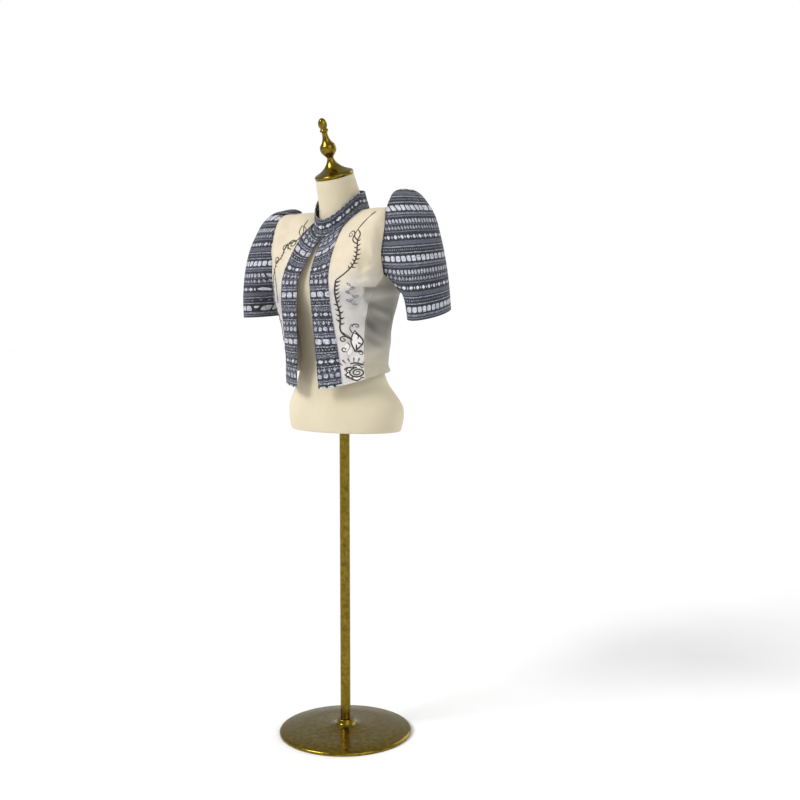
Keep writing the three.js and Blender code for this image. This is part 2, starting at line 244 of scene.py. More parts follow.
# Dress form: a padded torso and neck, covered in beige linen that is pulled tight and
# sewn along the middle and the sides. It rests on the pole, and the jacket hangs on it.
Ring = namedtuple("Ring", "dip full front_y front_z half_width side_y side_z back_y back_z")
FORM_RINGS = [
    Ring(1.0, 2.0, -0.078, 1.357, 0.0465, -0.034, 1.373, 0.010, 1.389),
    Ring(1.0, 2.0, -0.068, 1.306, 0.048, -0.019, 1.334, 0.029, 1.356),
    Ring(1.6, 2.0, -0.064, 1.262, 0.053, -0.008, 1.307, 0.047, 1.318),
    Ring(1.4, 2.0, -0.074, 1.229, 0.063, -0.003, 1.288, 0.059, 1.304),
    Ring(2.2, 2.1, -0.092, 1.203, 0.100, -0.001, 1.2924, 0.076, 1.276),
    Ring(2.5, 2.2, -0.106, 1.178, 0.134, 0.000, 1.2904, 0.090, 1.246),
    Ring(2.6, 2.3, -0.117, 1.155, 0.155, 0.002, 1.277, 0.096, 1.212),
    Ring(2.6, 2.3, -0.123, 1.138, 0.157, 0.002, 1.228, 0.096, 1.182),
    Ring(2.4, 2.3, -0.128, 1.118, 0.146, 0.000, 1.166, 0.093, 1.150),
    Ring(2.0, 2.2, -0.127, 1.092, 0.138, -0.002, 1.108, 0.087, 1.108),
    Ring(2.0, 2.0, -0.104, 1.026, 0.124, -0.004, 1.030, 0.075, 1.030),
    Ring(2.6, 2.0, -0.088, 0.951, 0.112, -0.006, 0.951, 0.066, 0.951),
    Ring(2.6, 2.0, -0.098, 0.885, 0.122, -0.006, 0.885, 0.074, 0.885),
    Ring(2.6, 2.0, -0.104, 0.820, 0.158, 0.004, 0.820, 0.112, 0.820),
    Ring(2.6, 2.0, -0.100, 0.768, 0.154, 0.004, 0.768, 0.108, 0.768),
    Ring(2.6, 2.0, -0.092, 0.762, 0.146, 0.004, 0.762, 0.100, 0.762),
]
FORM_COLUMNS = 120
FORM_ROWS_PER_RING = 7


def smooth_between(before, start, end, after, part):
    """Catmull-Rom: a smooth value from start to end, with its neighbours either side."""
    square = part * part
    cube = square * part
    return 0.5 * (
        2 * start
        + (end - before) * part
        + (2 * before - 5 * start + 4 * end - after) * square
        + (3 * start - before - 3 * end + after) * cube
    )


def smooth_along(amounts, level):
    row = min(max(floor(level), 0), len(amounts) - 2)
    last = len(amounts) - 1
    four = [amounts[min(max(row + step, 0), last)] for step in (-1, 0, 1, 2)]
    return smooth_between(*four, level - row)


def ring_at(rings, level):
    """The ring at a fractional level of a table of rings."""
    return type(rings[0])(*(smooth_along(column, level) for column in zip(*rings)))


def ring_point(ring, around):
    """A point of a ring, with the angle in degrees from the centre front towards +X."""
    forward = cos(radians(around))
    across = sin(radians(around))
    end_y, end_z = (ring.front_y, ring.front_z) if forward > 0 else (ring.back_y, ring.back_z)
    power = 2 / ring.full if forward > 0 else 1
    reach = abs(forward)
    side = 1 if across > 0 else -1
    return Vector((
        side * ring.half_width * abs(across) ** power,
        ring.side_y + (end_y - ring.side_y) * reach**power,
        ring.side_z + (end_z - ring.side_z) * reach**ring.dip,
    ))


def even_steps(first, last, steps):
    return [first + (last - first) * step / steps for step in range(steps + 1)]


def grid_mesh(name, grid, closed=False, capped=False):
    """A mesh through rows of points. Closed joins each row's ends, capped fills both ends."""
    rows = len(grid)
    columns = len(grid[0])
    spans = columns if closed else columns - 1
    points = [point for row in grid for point in row]
    faces = []
    for r in range(rows - 1):
        for c in range(spans):
            beside = (c + 1) % columns
            above, below = r * columns, (r + 1) * columns
            faces.append((above + c, below + c, below + beside, above + beside))
    if capped:
        faces.append(tuple(range(columns)))
        faces.append(tuple(reversed(range((rows - 1) * columns, rows * columns))))
    mesh = bpy.data.meshes.new(name)
    mesh.from_pydata(points, [], faces)
    mesh.update()
    piece = bpy.data.objects.new(name, mesh)
    bpy.context.collection.objects.link(piece)
    return piece


def select_only(piece):
    bpy.ops.object.select_all(action="DESELECT")
    piece.select_set(True)
    bpy.context.view_layer.objects.active = piece


def face_outward(piece):
    """Recalculates a closed piece's normals."""
    shape = bmesh.new()
    shape.from_mesh(piece.data)
    bmesh.ops.recalc_face_normals(shape, faces=shape.faces)
    shape.to_mesh(piece.data)
    shape.free()


def shade_smooth(piece, limit=60):
    select_only(piece)
    bpy.ops.object.shade_smooth_by_angle(angle=radians(limit))


linen = Finish("linen", Roughness=0.88, Sheen_Weight=0.15)
linen_place = linen.place()
linen_x, linen_y, linen_z = linen.axes(linen_place)
THREAD_PITCH = 0.0011
warp = (linen_x * (2 * pi / THREAD_PITCH) + linen_y * (2 * pi / THREAD_PITCH)).wave()
weft = (linen_z * (2 * pi / THREAD_PITCH)).wave()
slubs = linen.noise(linen_place, 420, 3.0)
cloudy = linen.noise(linen_place, 16, 3.0)
linen_tone = cloudy * 0.6 + slubs * 0.5 + warp * weft * 0.06
linen.show("Base Color", linen.blend(linen_tone, paint(220, 206, 172), paint(244, 232, 202)))
linen.show("Roughness", slubs * 0.15 + 0.78)
linen.bump(warp * 0.5 + weft * 0.5 + slubs, 0.0004)

form_grid = []
for level in even_steps(0, len(FORM_RINGS) - 1, FORM_ROWS_PER_RING * (len(FORM_RINGS) - 1)):
    ring = ring_at(FORM_RINGS, level)
    form_grid.append([ring_point(ring, 360 * c / FORM_COLUMNS) for c in range(FORM_COLUMNS)])
form_cover = grid_mesh("form_cover", form_grid, closed=True, capped=True)
face_outward(form_cover)
shade_smooth(form_cover)
linen.cover(form_cover)
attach(form_cover, "root")
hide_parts("form")


# Neck cap: a cast brass lid with a turned stem, bulb and ball. It is screwed to the top of
# the neck, square to the slanting cut.
CAP_TILT = radians(20)
CAP_FOOT = Vector((0, -0.034, 1.37375))
CAP_PROFILE = [
    (0.0455, 0.0), (0.047, 0.002), (0.047, 0.006), (0.044, 0.009), (0.035, 0.013),
    (0.025, 0.019), (0.0165, 0.027), (0.0105, 0.036), (0.008, 0.043), (0.009, 0.047),
    (0.014, 0.053), (0.0185, 0.060), (0.0195, 0.067), (0.018, 0.074), (0.0135, 0.080),
    (0.0095, 0.087), (0.0072, 0.096), (0.0068, 0.104), (0.010, 0.108), (0.010, 0.111),
    (0.0075, 0.114), (0.0102, 0.120), (0.0104, 0.127), (0.007, 0.135), (0.0015, 0.1388),
]
PROFILE_STEPS = 5
TURNED_COLUMNS = 96


def turned_grid(profile, smooth):
    """Rings of a turned piece, smoothed along its profile or left with crisp edges."""
    steps = PROFILE_STEPS if smooth else 1
    radii, heights = zip(*profile)
    grid = []
    for level in even_steps(0, len(profile) - 1, steps * (len(profile) - 1)):
        radius = max(smooth_along(radii, level), 0.0005)
        height = smooth_along(heights, level)
        turns = [2 * pi * c / TURNED_COLUMNS for c in range(TURNED_COLUMNS)]
        grid.append([Vector((radius * sin(turn), -radius * cos(turn), height)) for turn in turns])
    return grid


def turned_piece(name, profile, place, finish, smooth=False, tilt=0.0):
    turn = Matrix.Translation(place) @ Matrix.Rotation(tilt, 4, "X")
    grid = [[turn @ point for point in row] for row in turned_grid(profile, smooth)]
    piece = grid_mesh(name, grid, closed=True, capped=True)
    face_outward(piece)
    shade_smooth(piece, 40)
    finish.cover(piece)
    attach(piece, "root")
    return piece


brass = Finish("brass", Metallic=1.0)
brass_place = brass.place()
# Painted reflection: the base colour runs from near black to bright brass in random patches, standing for
# the dark and bright reflections of the polished metal. The roughness follows the same patches.
reflection_patches = brass.noise(brass_place, 90, 4.0)
scratches = brass.noise(brass_place, 700, 2.0)
brass.show("Base Color", brass.blend(reflection_patches, paint(46, 36, 12), paint(160, 136, 52)))
brass.show("Roughness", reflection_patches * 0.2 + scratches * 0.08 + 0.06)
brass.bump(scratches, 0.00005)

neck_cap = turned_piece("turned_neck_cap", CAP_PROFILE, CAP_FOOT, brass, True, CAP_TILT)
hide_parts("neck_cap")


# Pole: a plain brass tube that carries the form. It is screwed into the base below and into
# the underside of the form above.
POLE_RADIUS = 0.0125
POLE_FOOT = 0.03435
POLE_TOP = 0.76165
POLE_EDGE = 0.0006

pole = turned_piece("brass_pole", [
    (POLE_RADIUS - POLE_EDGE, POLE_FOOT),
    (POLE_RADIUS, POLE_FOOT + POLE_EDGE),
    (POLE_RADIUS, POLE_TOP - POLE_EDGE),
    (POLE_RADIUS - POLE_EDGE, POLE_TOP),
], (0, 0, 0), brass)
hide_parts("pole")


# Base: a heavy spun brass disc with a rounded rim and a collar for the pole. It stands on
# the floor by its own weight.
BASE_PROFILE = [
    (0.1635, 0.0), (0.165, 0.0015), (0.165, 0.0055), (0.1635, 0.008), (0.159, 0.010),
    (0.110, 0.0125), (0.060, 0.015), (0.042, 0.0172), (0.028, 0.020), (0.0225, 0.0232),
    (0.021, 0.026), (0.021, 0.0328), (0.0202, 0.034),
]

base = turned_piece("brass_base", BASE_PROFILE, (0, 0, 0), brass)
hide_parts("base")


# Back panel: one piece of plain sheer cloth from the collar to the hem. It wraps forward
# under the arms to a seam on each side, and its hem is turned up and sewn.
Loop = namedtuple("Loop", Ring._fields + ("front_end", "back_start", "opening"))
BODICE_LOOPS = [
    Loop(1.4, 2.0, -0.080, 1.228, 0.064, -0.003, 1.292, 0.063, 1.307, 90, 90, 0.0015),
    Loop(2.2, 2.1, -0.098, 1.204, 0.102, -0.001, 1.295, 0.080, 1.281, 90, 90, 0.005),
    Loop(2.5, 2.2, -0.115, 1.180, 0.138, 0.000, 1.293, 0.094, 1.249, 90, 90, 0.009),
    Loop(2.6, 2.4, -0.129, 1.157, 0.169, 0.002, 1.289, 0.102, 1.214, 74, 106, 0.012),
    Loop(2.6, 2.6, -0.138, 1.142, 0.177, 0.002, 1.244, 0.104, 1.186, 71, 114, 0.015),
    Loop(2.6, 2.9, -0.143, 1.130, 0.170, 0.002, 1.186, 0.102, 1.160, 72, 113, 0.017),
    Loop(2.4, 3.2, -0.146, 1.116, 0.158, 0.002, 1.134, 0.099, 1.130, 81, 81, 0.019),
    Loop(2.0, 3.2, -0.146, 1.076, 0.152, 0.000, 1.084, 0.094, 1.084, 69, 69, 0.022),
    Loop(2.0, 2.8, -0.142, 1.018, 0.139, -0.004, 1.026, 0.084, 1.030, 66, 66, 0.025),
    Loop(1.6, 2.4, -0.139, 0.950, 0.129, -0.012, 0.966, 0.079, 0.974, 66, 66, 0.029),
    Loop(1.3, 2.1, -0.137, 0.868, 0.135, -0.020, 0.903, 0.088, 0.916, 66, 66, 0.034),
]
NECK_SEAM = 0.045
SHOULDER_TIP = 2
UNDERARM = 6
HEM = len(BODICE_LOOPS) - 1
CLOTH_WALL = 0.0014
SEAM_GAP = 0.00035
BACK_COLUMNS = 150
PANEL_ROWS_PER_LOOP = 16

# Where each crease lies, how far it runs, how deep it is and how it slants. Side 1 is the
# wearer's left, -1 the right and 0 both.
Crease = namedtuple("Crease", "side level around level_span angle_span depth slant")
CREASES = [
    Crease(0, 6.7, 84, 0.28, 26, 0.005, 0),
    Crease(0, 7.9, 92, 0.30, 22, -0.004, 0),
    Crease(0, 8.9, 100, 0.35, 40, 0.006, 0),
    Crease(0, 8.6, 52, 1.30, 7, -0.003, 0),
    Crease(0, 9.2, 140, 1.20, 9, -0.005, 0),
    Crease(0, 7.6, 160, 0.50, 20, 0.004, 0),
    Crease(1, 6.25, 60, 0.20, 20, 0.0040, -0.010),
    Crease(1, 6.62, 66, 0.18, 24, -0.0052, -0.006),
    Crease(1, 7.00, 74, 0.16, 18, 0.0046, -0.008),
    Crease(1, 7.35, 70, 0.18, 22, -0.0052, 0.010),
    Crease(1, 7.72, 84, 0.15, 15, 0.0050, 0.022),
    Crease(1, 8.15, 74, 0.18, 16, -0.0046, 0.024),
    Crease(-1, 6.50, 64, 0.20, 22, -0.0048, -0.008),
    Crease(-1, 6.95, 78, 0.18, 18, 0.0040, -0.010),
    Crease(-1, 7.45, 72, 0.18, 20, -0.0046, -0.008),
    Crease(1, 8.45, 58, 0.16, 12, 0.0036, 0.020),
    Crease(1, 8.80, 80, 0.17, 16, -0.0048, 0.016),
    Crease(-1, 8.5, 66, 0.18, 14, -0.0042, 0.014),
    Crease(1, 9.2, 72, 0.17, 22, 0.0042, -0.010),
    Crease(1, 9.5, 52, 0.14, 10, -0.0028, 0.014),
    Crease(-1, 9.2, 80, 0.17, 18, 0.0042, 0.012),
    Crease(1, 5.4, 52, 0.50, 6, -0.0026, 0.050),
    Crease(-1, 5.2, 50, 0.50, 6, -0.0026, 0.050),
    Crease(0, 9.65, 118, 0.20, 14, -0.0040, 0.010),
    Crease(1, 6.6, 120, 0.20, 14, 0.0036, 0.030),
    Crease(-1, 6.9, 126, 0.20, 14, 0.0036, 0.026),
    Crease(1, 8.1, 150, 0.24, 11, -0.0036, 0.022),
    Crease(-1, 8.4, 164, 0.26, 10, 0.0038, 0.018),
    Crease(0, 4.2, 128, 0.50, 9, -0.0024, 0.035),
    Crease(1, 4.8, 60, 0.30, 5, 0.0022, 0.060),
    Crease(-1, 4.6, 58, 0.30, 5, 0.0022, 0.055),
    Crease(1, 4.1, 66, 0.36, 5, -0.0020, 0.045),
    Crease(1, 5.7, 62, 0.20, 9, 0.0024, -0.020),
    Crease(-1, 5.8, 60, 0.22, 9, 0.0022, -0.020),
]


def crease_offset(level, around):
    """How far the cloth stands out here, for an angle from 0 to 360 degrees."""
    side = 1 if around < 180 else -1
    from_front = 180 - abs(180 - around)
    offset = 0.0
    for crease in CREASES:
        if crease.side == -side:
            continue
        beside = from_front - crease.around
        down = (level - crease.level - crease.slant * beside) / crease.level_span
        offset += crease.depth * exp(-down * down - (beside / crease.angle_span) ** 2)
    return offset


def bodice_point(level, around, loop=None):
    """A point on the outer face of the jacket's body."""
    point = ring_point(loop or ring_at(BODICE_LOOPS, level), around)
    outward = Vector((point.x, point.y, 0)).normalized()
    return point + outward * crease_offset(level, around)


def edge_angle(level, column, set_back=0.0):
    """The angle of a panel's side edge, which has corners at the shoulder and underarm."""
    corners = [0, SHOULDER_TIP, UNDERARM, HEM]
    first, last = next(pair for pair in zip(corners, corners[1:]) if level <= pair[1])
    angles = [getattr(loop, column) for loop in BODICE_LOOPS[first:last + 1]]
    angle = smooth_along(angles, level - first)
    return angle + degrees(set_back / ring_at(BODICE_LOOPS, level).half_width)


def panel_levels():
    return even_steps(NECK_SEAM, HEM, PANEL_ROWS_PER_LOOP * HEM)


def panel_folds(angles_at):
    """How far each point of a panel stands out in a crease, row by row."""
    return [[crease_offset(level, around) for around in angles_at(level)] for level in panel_levels()]


def panel_grid(angles_at):
    """Rows of points on the body, through the angles that each level gives."""
    grid = []
    for level in panel_levels():
        loop = ring_at(BODICE_LOOPS, level)
        grid.append([bodice_point(level, around, loop) for around in angles_at(level)])
    return grid


def grid_normals(grid, closed=False):
    """Outward normals of a grid: down the rows x along the columns."""
    rows = len(grid)
    columns = len(grid[0])
    normals = []
    for r in range(rows):
        line = []
        for c in range(columns):
            after = (c + 1) % columns if closed else min(c + 1, columns - 1)
            before = (c - 1) % columns if closed else max(c - 1, 0)
            along = grid[r][after] - grid[r][before]
            down = grid[min(r + 1, rows - 1)][c] - grid[max(r - 1, 0)][c]
            line.append(down.cross(along).normalized())
        normals.append(line)
    return normals


def moved_grid(grid, distance, closed=False):
    normals = grid_normals(grid, closed)
    return [
        [point + normal * distance for point, normal in zip(row, row_normals)]
        for row, row_normals in zip(grid, normals)
    ]


def on_side(angles_at, side):
    """The angles as given for the left side, or turned round for the right."""
    if side > 0:
        return angles_at
    return lambda level: [360 - around for around in reversed(angles_at(level))]


def lengths_along(points):
    """Distances of a line of points from its first."""
    total = [0.0]
    for start, end in zip(points, points[1:]):
        total.append(total[-1] + (end - start).length)
    return total


def cloth_piece(name, grid, wall, finish, closed=False, laid=None, folds=None):
    """A thin cloth shell whose outer face is the grid. laid gives each point's place on the
    flat cloth, in metres, or else it is measured along the middle row and column. folds are
    kept on the mesh, as the attribute Fold, for its material's painted shade and highlight."""
    columns = len(grid[0])
    if laid is None:
        across = lengths_along(grid[len(grid) // 2])
        down = lengths_along([row[columns // 2] for row in grid])
        laid = [[(u, -v) for u in across] for v in down]
    piece = grid_mesh(name, grid, closed)
    flat = piece.data.uv_layers.new(name="Cloth")
    places = [place for row in laid for place in row]
    wrap = laid[0][-1][0] + laid[0][1][0] - laid[0][0][0]
    for face in piece.data.polygons:
        turned_back = closed and max(v % columns for v in face.vertices) == columns - 1
        for corner in face.loop_indices:
            vertex = piece.data.loops[corner].vertex_index
            u, v = places[vertex]
            if turned_back and vertex % columns == 0:
                u = wrap
            flat.data[corner].uv = (u, v)
    if folds:
        fold = piece.data.attributes.new("Fold", "FLOAT", "POINT")
        fold.data.foreach_set("value", [offset for row in folds for offset in row])
    select_only(piece)
    bpy.ops.object.modifier_add(type="SOLIDIFY")
    shell = piece.modifiers[-1]
    shell.thickness = wall
    shell.offset = -1
    bpy.ops.object.modifier_apply(modifier=shell.name)
    shade_smooth(piece)
    finish.cover(piece)
    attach(piece, "root")
    return piece


def woven_height(finish, across, along, pitch):
    """The small relief of a plain weave, from 0 to 1."""
    over = (across * (2 * pi / pitch)).wave()
    under = (along * (2 * pi / pitch)).wave()
    return over * under * 0.5 + 0.5


SHEER_PITCH = 0.0016
FOLD_DEPTH = 0.006
sheer_cloth = Finish("sheer_cloth", Sheen_Weight=0.1)
sheer_place = sheer_cloth.place()
sheer_across, sheer_along = sheer_cloth.along_cloth()
sheer_weave = woven_height(sheer_cloth, sheer_across, sheer_along, SHEER_PITCH)
slubs = sheer_cloth.noise(sheer_place, 260, 3.0)
watered = sheer_cloth.noise(sheer_place, 17, 5.0)
sheer_z = sheer_cloth.axes(sheer_place)[2]
# Painted shade: from SHADE_FOOT up to SHADE_TOP, with a wavering edge, the sheer cloth is coloured much
# darker for the shadow under the sleeves seen through it. Above and below the band it keeps its lit tone.
SHADE_FOOT, SHADE_TOP, SHADE_FADE = 0.930, 1.135, 0.045
SHADE_WAVER = 0.05
shade_waver = (watered - 0.5) * SHADE_WAVER
above_foot = ((sheer_z + shade_waver - SHADE_FOOT) / SHADE_FADE).as_share()
below_top = ((SHADE_TOP - sheer_z + shade_waver) / SHADE_FADE).as_share()
# Painted shade and highlight: the sheer cloth is darker in the troughs of its creases and lighter on their
# ridges.
sheer_fold_shade = sheer_cloth.fold_share(FOLD_DEPTH)
lit_sheer_tone = sheer_cloth.blend(watered * 0.5 + sheer_fold_shade * 0.5, paint(150, 142, 118), paint(226, 218, 196))
shaded_sheer_tone = sheer_cloth.blend(watered * 0.3 + sheer_fold_shade * 0.7, paint(66, 64, 54), paint(186, 184, 172))
sheer_cloth.show("Base Color", sheer_cloth.blend(above_foot * below_top, lit_sheer_tone, shaded_sheer_tone))
sheer_cloth.show("Roughness", slubs * 0.2 + 0.5)
sheer_cloth.show("Alpha", sheer_weave * 0.1 + slubs * 0.1 + 0.74)
sheer_cloth.bump(sheer_weave + slubs, 0.00025)


def back_angles(level):
    first = edge_angle(level, "back_start", SEAM_GAP)
    return even_steps(first, 360 - first, BACK_COLUMNS)


back = cloth_piece("back_cloth", panel_grid(back_angles), CLOTH_WALL, sheer_cloth,
                   folds=panel_folds(back_angles))
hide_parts("back")


# Front panels: opaque embroidered cloth from the shoulder to the hem, one on each side of
# the opening. Each is sewn under its front band and to the collar, sleeve and back panel.
BAND_WIDTH = 0.053
BAND_OVERLAP = 0.014
FRONT_COLUMNS = 60


def angle_across(level, across, loop=None):
    """The angle at which the body is this far from the centre front."""
    loop = loop or ring_at(BODICE_LOOPS, level)
    return degrees(asin(min(across / loop.half_width, 1) ** (loop.full / 2)))


def front_angles(level):
    loop = ring_at(BODICE_LOOPS, level)
    under_band = angle_across(level, loop.opening + BAND_WIDTH - BAND_OVERLAP, loop)
    return even_steps(under_band, edge_angle(level, "front_end", -SEAM_GAP), FRONT_COLUMNS)


FRONT_PITCH = 0.0011
front_cloth = Finish("embroidered_cloth", Sheen_Weight=0.1)
front_place = front_cloth.place()
front_x, _, front_z = front_cloth.axes(front_place)
front_across, front_along = front_cloth.along_cloth()
front_weave = woven_height(front_cloth, front_across, front_along, FRONT_PITCH)
slubs = front_cloth.noise(front_place, 300, 3.0)
clouds = front_cloth.noise(front_place, 34, 5.0)
YOKE_FADE_FOOT = 1.085
YOKE_FADE_DEPTH = 0.07
YOKE_WAVER = 0.06
yoke_share = ((front_z + (clouds - 0.5) * YOKE_WAVER - YOKE_FADE_FOOT) / YOKE_FADE_DEPTH).as_share()
MOTTLE_PEAK, MOTTLE_SPREAD = 1.085, 0.05
past_peak = (front_z - MOTTLE_PEAK) / MOTTLE_SPREAD
mottle_share = (1 / (past_peak * past_peak + 1)) * (1.25 - clouds)
grey_tone = front_cloth.blend(clouds, paint(136, 137, 142), paint(198, 194, 188))
# Painted shade and highlight: the embroidered cloth is darker in the troughs of its creases and lighter on
# their ridges, in its white, cream and corner tones.
front_fold_shade = front_cloth.fold_share(FOLD_DEPTH)
white_tone = front_cloth.blend(clouds * 0.5 + front_fold_shade * 0.5, paint(190, 184, 178), paint(246, 243, 240))
lower_tone = front_cloth.blend(mottle_share.least(1.0), white_tone, grey_tone)
upper_tone = front_cloth.blend(clouds * 0.4 + front_fold_shade * 0.6, paint(184, 169, 140), paint(244, 232, 208))
# Painted shade: the lower side corner of each front panel, towards the underarm, is coloured as sheer cloth
# in the sleeve's shadow, dark like the shaded band of the back panel.
CORNER_X, CORNER_Z, CORNER_FADE = 0.137, 1.108, 0.004
shaded_corner_share = ((abs(front_x) - CORNER_X) / CORNER_FADE).as_share()
shaded_corner_share = shaded_corner_share * ((CORNER_Z - front_z) / CORNER_FADE).as_share()
shaded_corner_tone = front_cloth.blend(clouds * 0.3 + front_fold_shade * 0.7, paint(76, 74, 64), paint(190, 188, 178))
body_tone = front_cloth.blend(yoke_share, lower_tone, upper_tone)
front_cloth.show("Base Color", front_cloth.blend(shaded_corner_share, body_tone, shaded_corner_tone))
front_cloth.show("Roughness", slubs * 0.2 + 0.5)
front_cloth.show("Alpha", front_weave * 0.05 + 0.94)
front_cloth.bump(front_weave + slubs, 0.0002)

for side, name, node in ((1, "front_cloth_left", "front_left"), (-1, "front_cloth_right", "front_right")):
    grid = panel_grid(on_side(front_angles, side))
    front = cloth_piece(name, grid, CLOTH_WALL, front_cloth,
                        folds=panel_folds(on_side(front_angles, side)))
    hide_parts(node)


# Front bands: patterned cloth folded over and sewn down both edges of the opening, from the
# collar to the hem. The rows of the print run across them.
BAND_WALL = 0.0016
BAND_STEPS = 18
PRINT_REPEAT = 0.110


def band_angles(level):
    loop = ring_at(BODICE_LOOPS, level)
    steps = even_steps(0, BAND_WIDTH, BAND_STEPS)
    return [angle_across(level, loop.opening + step, loop) for step in steps]


# The print's rows. Places and half heights are shares of the repeat, and pitches, half widths
# and slides are in metres. A roundness of 1 makes diamonds and 4 makes blocks.
SpotRow = namedtuple("SpotRow", "middle half_height pitch half_width roundness slide strength")
SPOT_ROWS = [
    SpotRow(0.080, 0.055, 0.0152, 0.0060, 4, 0, 0.88),
    SpotRow(0.345, 0.042, 0.0100, 0.0034, 4, 0, 0.74),
    SpotRow(0.475, 0.045, 0.0092, 0.0028, 1.2, 0, 0.66),
    SpotRow(0.490, 0.022, 0.0092, 0.0012, 2, 0.0046, 0.50),
    SpotRow(0.655, 0.040, 0.0190, 0.0050, 1.3, 0, 1.0),
    SpotRow(0.655, 0.026, 0.0190, 0.0018, 3, 0.0095, 0.80),
    SpotRow(0.905, 0.016, 0.0060, 0.0012, 2, 0, 0.60),
]
LineRow = namedtuple("LineRow", "middle half_height strength")
LINE_ROWS = [
    LineRow(0.190, 0.020, 0.52),
    LineRow(0.243, 0.014, 0.40),
    LineRow(0.405, 0.007, 0.36),
    LineRow(0.548, 0.012, 0.42),
    LineRow(0.845, 0.010, 0.62),
    LineRow(0.968, 0.009, 0.62),
]
GRAINY_MIDDLE, GRAINY_HALF_HEIGHT = 0.770, 0.040
GROUND_TONE = 0.05


def spots(down, across, row):
    """A row of rounded spots: 1 inside a spot, else 0."""
    beside = abs(((across + row.slide) / row.pitch).part() - 0.5) * (row.pitch / row.half_width)
    above = abs(down - row.middle) / row.half_height
    return (beside**row.roundness + above**row.roundness).below(1.0)


def printed_finish(name, shift=0.0, stretch=1.0, upside_down=False, busyness=1.0):
    """Cotton printed in woven-look rows of white, slate and navy. shift slides the rows along
    the cloth, stretch widens their spots and busyness is how much the ground is flecked."""
    cotton = Finish(name, Sheen_Weight=0.08)
    place = cotton.place()
    across, along = cotton.along_cloth()
    waver = cotton.noise(place, 110, 2.0) - 0.5
    drift = cotton.noise(place, 34, 1.0) - 0.5
    wide = across / stretch + waver * 0.0016 + drift * 0.006
    down = ((shift - along) / PRINT_REPEAT + waver * 0.02).part()
    if upside_down:
        down = 1 - down
    speckle = cotton.noise(place, 620, 2.0)

    pattern = down.near(GRAINY_MIDDLE, GRAINY_HALF_HEIGHT) * (speckle * 0.6)
    for row in SPOT_ROWS:
        pattern += spots(down, wide, row) * row.strength
    for row in LINE_ROWS:
        pattern += down.near(row.middle, row.half_height) * row.strength

    mottle = cotton.noise(place, 210, 3.0)
    flecks = cotton.noise(place, 400, 1.0)
    busy = flecks.above(0.58) * (0.24 * busyness) + flecks.above(0.66) * (0.3 * busyness)
    unworn = (pattern + busy + GROUND_TONE).least(1.0)
    tone = unworn * (1 - flecks.below(0.40) * (0.45 * busyness))
    worn = tone * (speckle * 0.5 + mottle * 0.7 + 0.30)
    to_slate = (worn * 2).least(1.0)
    to_light = (worn * 2 - 1).most(0.0)
    dark_half = cotton.blend(to_slate, paint(10, 11, 18), paint(98, 101, 117))
    cotton.show("Base Color", cotton.blend(to_light, dark_half, paint(216, 218, 228)))
    cotton.show("Roughness", speckle * 0.2 + 0.68)
    threads = woven_height(cotton, across, along, 0.0012)
    cotton.bump(threads + speckle + tone * 0.4, 0.0003)
    return cotton


band_print = printed_finish("printed_cotton_band", shift=0.0392, stretch=1.35, upside_down=True)
for side, name, node in ((1, "band_cloth_left", "band_left"), (-1, "band_cloth_right", "band_right")):
    grid = moved_grid(panel_grid(on_side(band_angles, side)), SEAM_GAP + BAND_WALL)
    band = cloth_piece(name, grid, BAND_WALL, band_print)
    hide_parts(node)


# Stand collar: a stiffened strip of the patterned cloth sewn to the neckline. It leans in
# with the neck, and its ends stand just apart at the centre front.
COLLAR_HEIGHT = 0.040
COLLAR_END_GAP = 0.0012
COLLAR_LEAN_IN = 0.1
COLLAR_LEAN_FORWARD = 0.008
COLLAR_COLUMNS = 160
COLLAR_ROWS = 12

collar_foot = BODICE_LOOPS[0]
first_angle = degrees(COLLAR_END_GAP / collar_foot.half_width)
collar_grid = []
for height in even_steps(1, 0, COLLAR_ROWS):
    row = []
    for around in even_steps(first_angle, 360 - first_angle, COLLAR_COLUMNS):
        foot = ring_point(collar_foot, around)
        inward = 1 - COLLAR_LEAN_IN * height
        row.append(Vector((
            foot.x * inward,
            foot.y * inward - COLLAR_LEAN_FORWARD * height,
            foot.z + SEAM_GAP + COLLAR_HEIGHT * height,
        )))
    collar_grid.append(row)
collar_print = printed_finish("printed_cotton_collar", shift=0.052, stretch=1.6, busyness=0.8)
collar = cloth_piece("collar_cloth", collar_grid, BAND_WALL, collar_print)
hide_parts("collar")


# Sleeves: tall flat sleeves of the patterned cloth. Each is gathered all round the armhole
# into a raised head, hangs free over where the arm would be and is open at the hem.
Sleeve = namedtuple("Sleeve", "name node side crown_rise crown_out crown_hang side_out forward flare "
                    "hem_x hem_y hem_half_x hem_half_y hem_front_z hem_back_z")
SLEEVES = [
    Sleeve("sleeve_cloth_left", "sleeve_left", 1, 0.077, 0.002, 0.328, 0.022, 0.002, 0.07,
           0.260, -0.006, 0.042, 0.064, 1.028, 1.060),
    Sleeve("sleeve_cloth_right", "sleeve_right", -1, 0.030, -0.026, 0.302, 0.020, 0.010, -0.07,
           0.262, -0.004, 0.042, 0.066, 1.036, 1.046),
]
SLEEVE_COLUMNS = 300
SLEEVE_ROWS = 90
RIM_INSET = 0.014
RIM_CLEARANCE = 0.0009
PLEAT_COUNT = 15
PLEAT_DEPTH = 0.0023
PLEAT_START = 0.12
PLEAT_REACH = 0.62
PLEAT_FADE = 1.5
UNDERARM_PLEAT_SHARE = 0.35
CROWN_ROUNDNESS = 0.3
CROWN_TAPER = 0.8
HEM_FORWARD_SHARE = 0.3
ROW_SPACING = 1.25
SIDE_HANG = 0.110
UNDERARM_HANG = 0.042
UNDERARM_DROP = 0.016
RIM_STEPS_PER_LOOP = 24
HEM_SLOPE_REACH = 0.30
GATHER_COUNT = 46
GATHER_DEPTH = 0.0010
GATHER_REACH = 0.09
GATHER_START = 0.015
GATHER_WANDER, GATHER_WANDER_COUNT = 1.7, 7


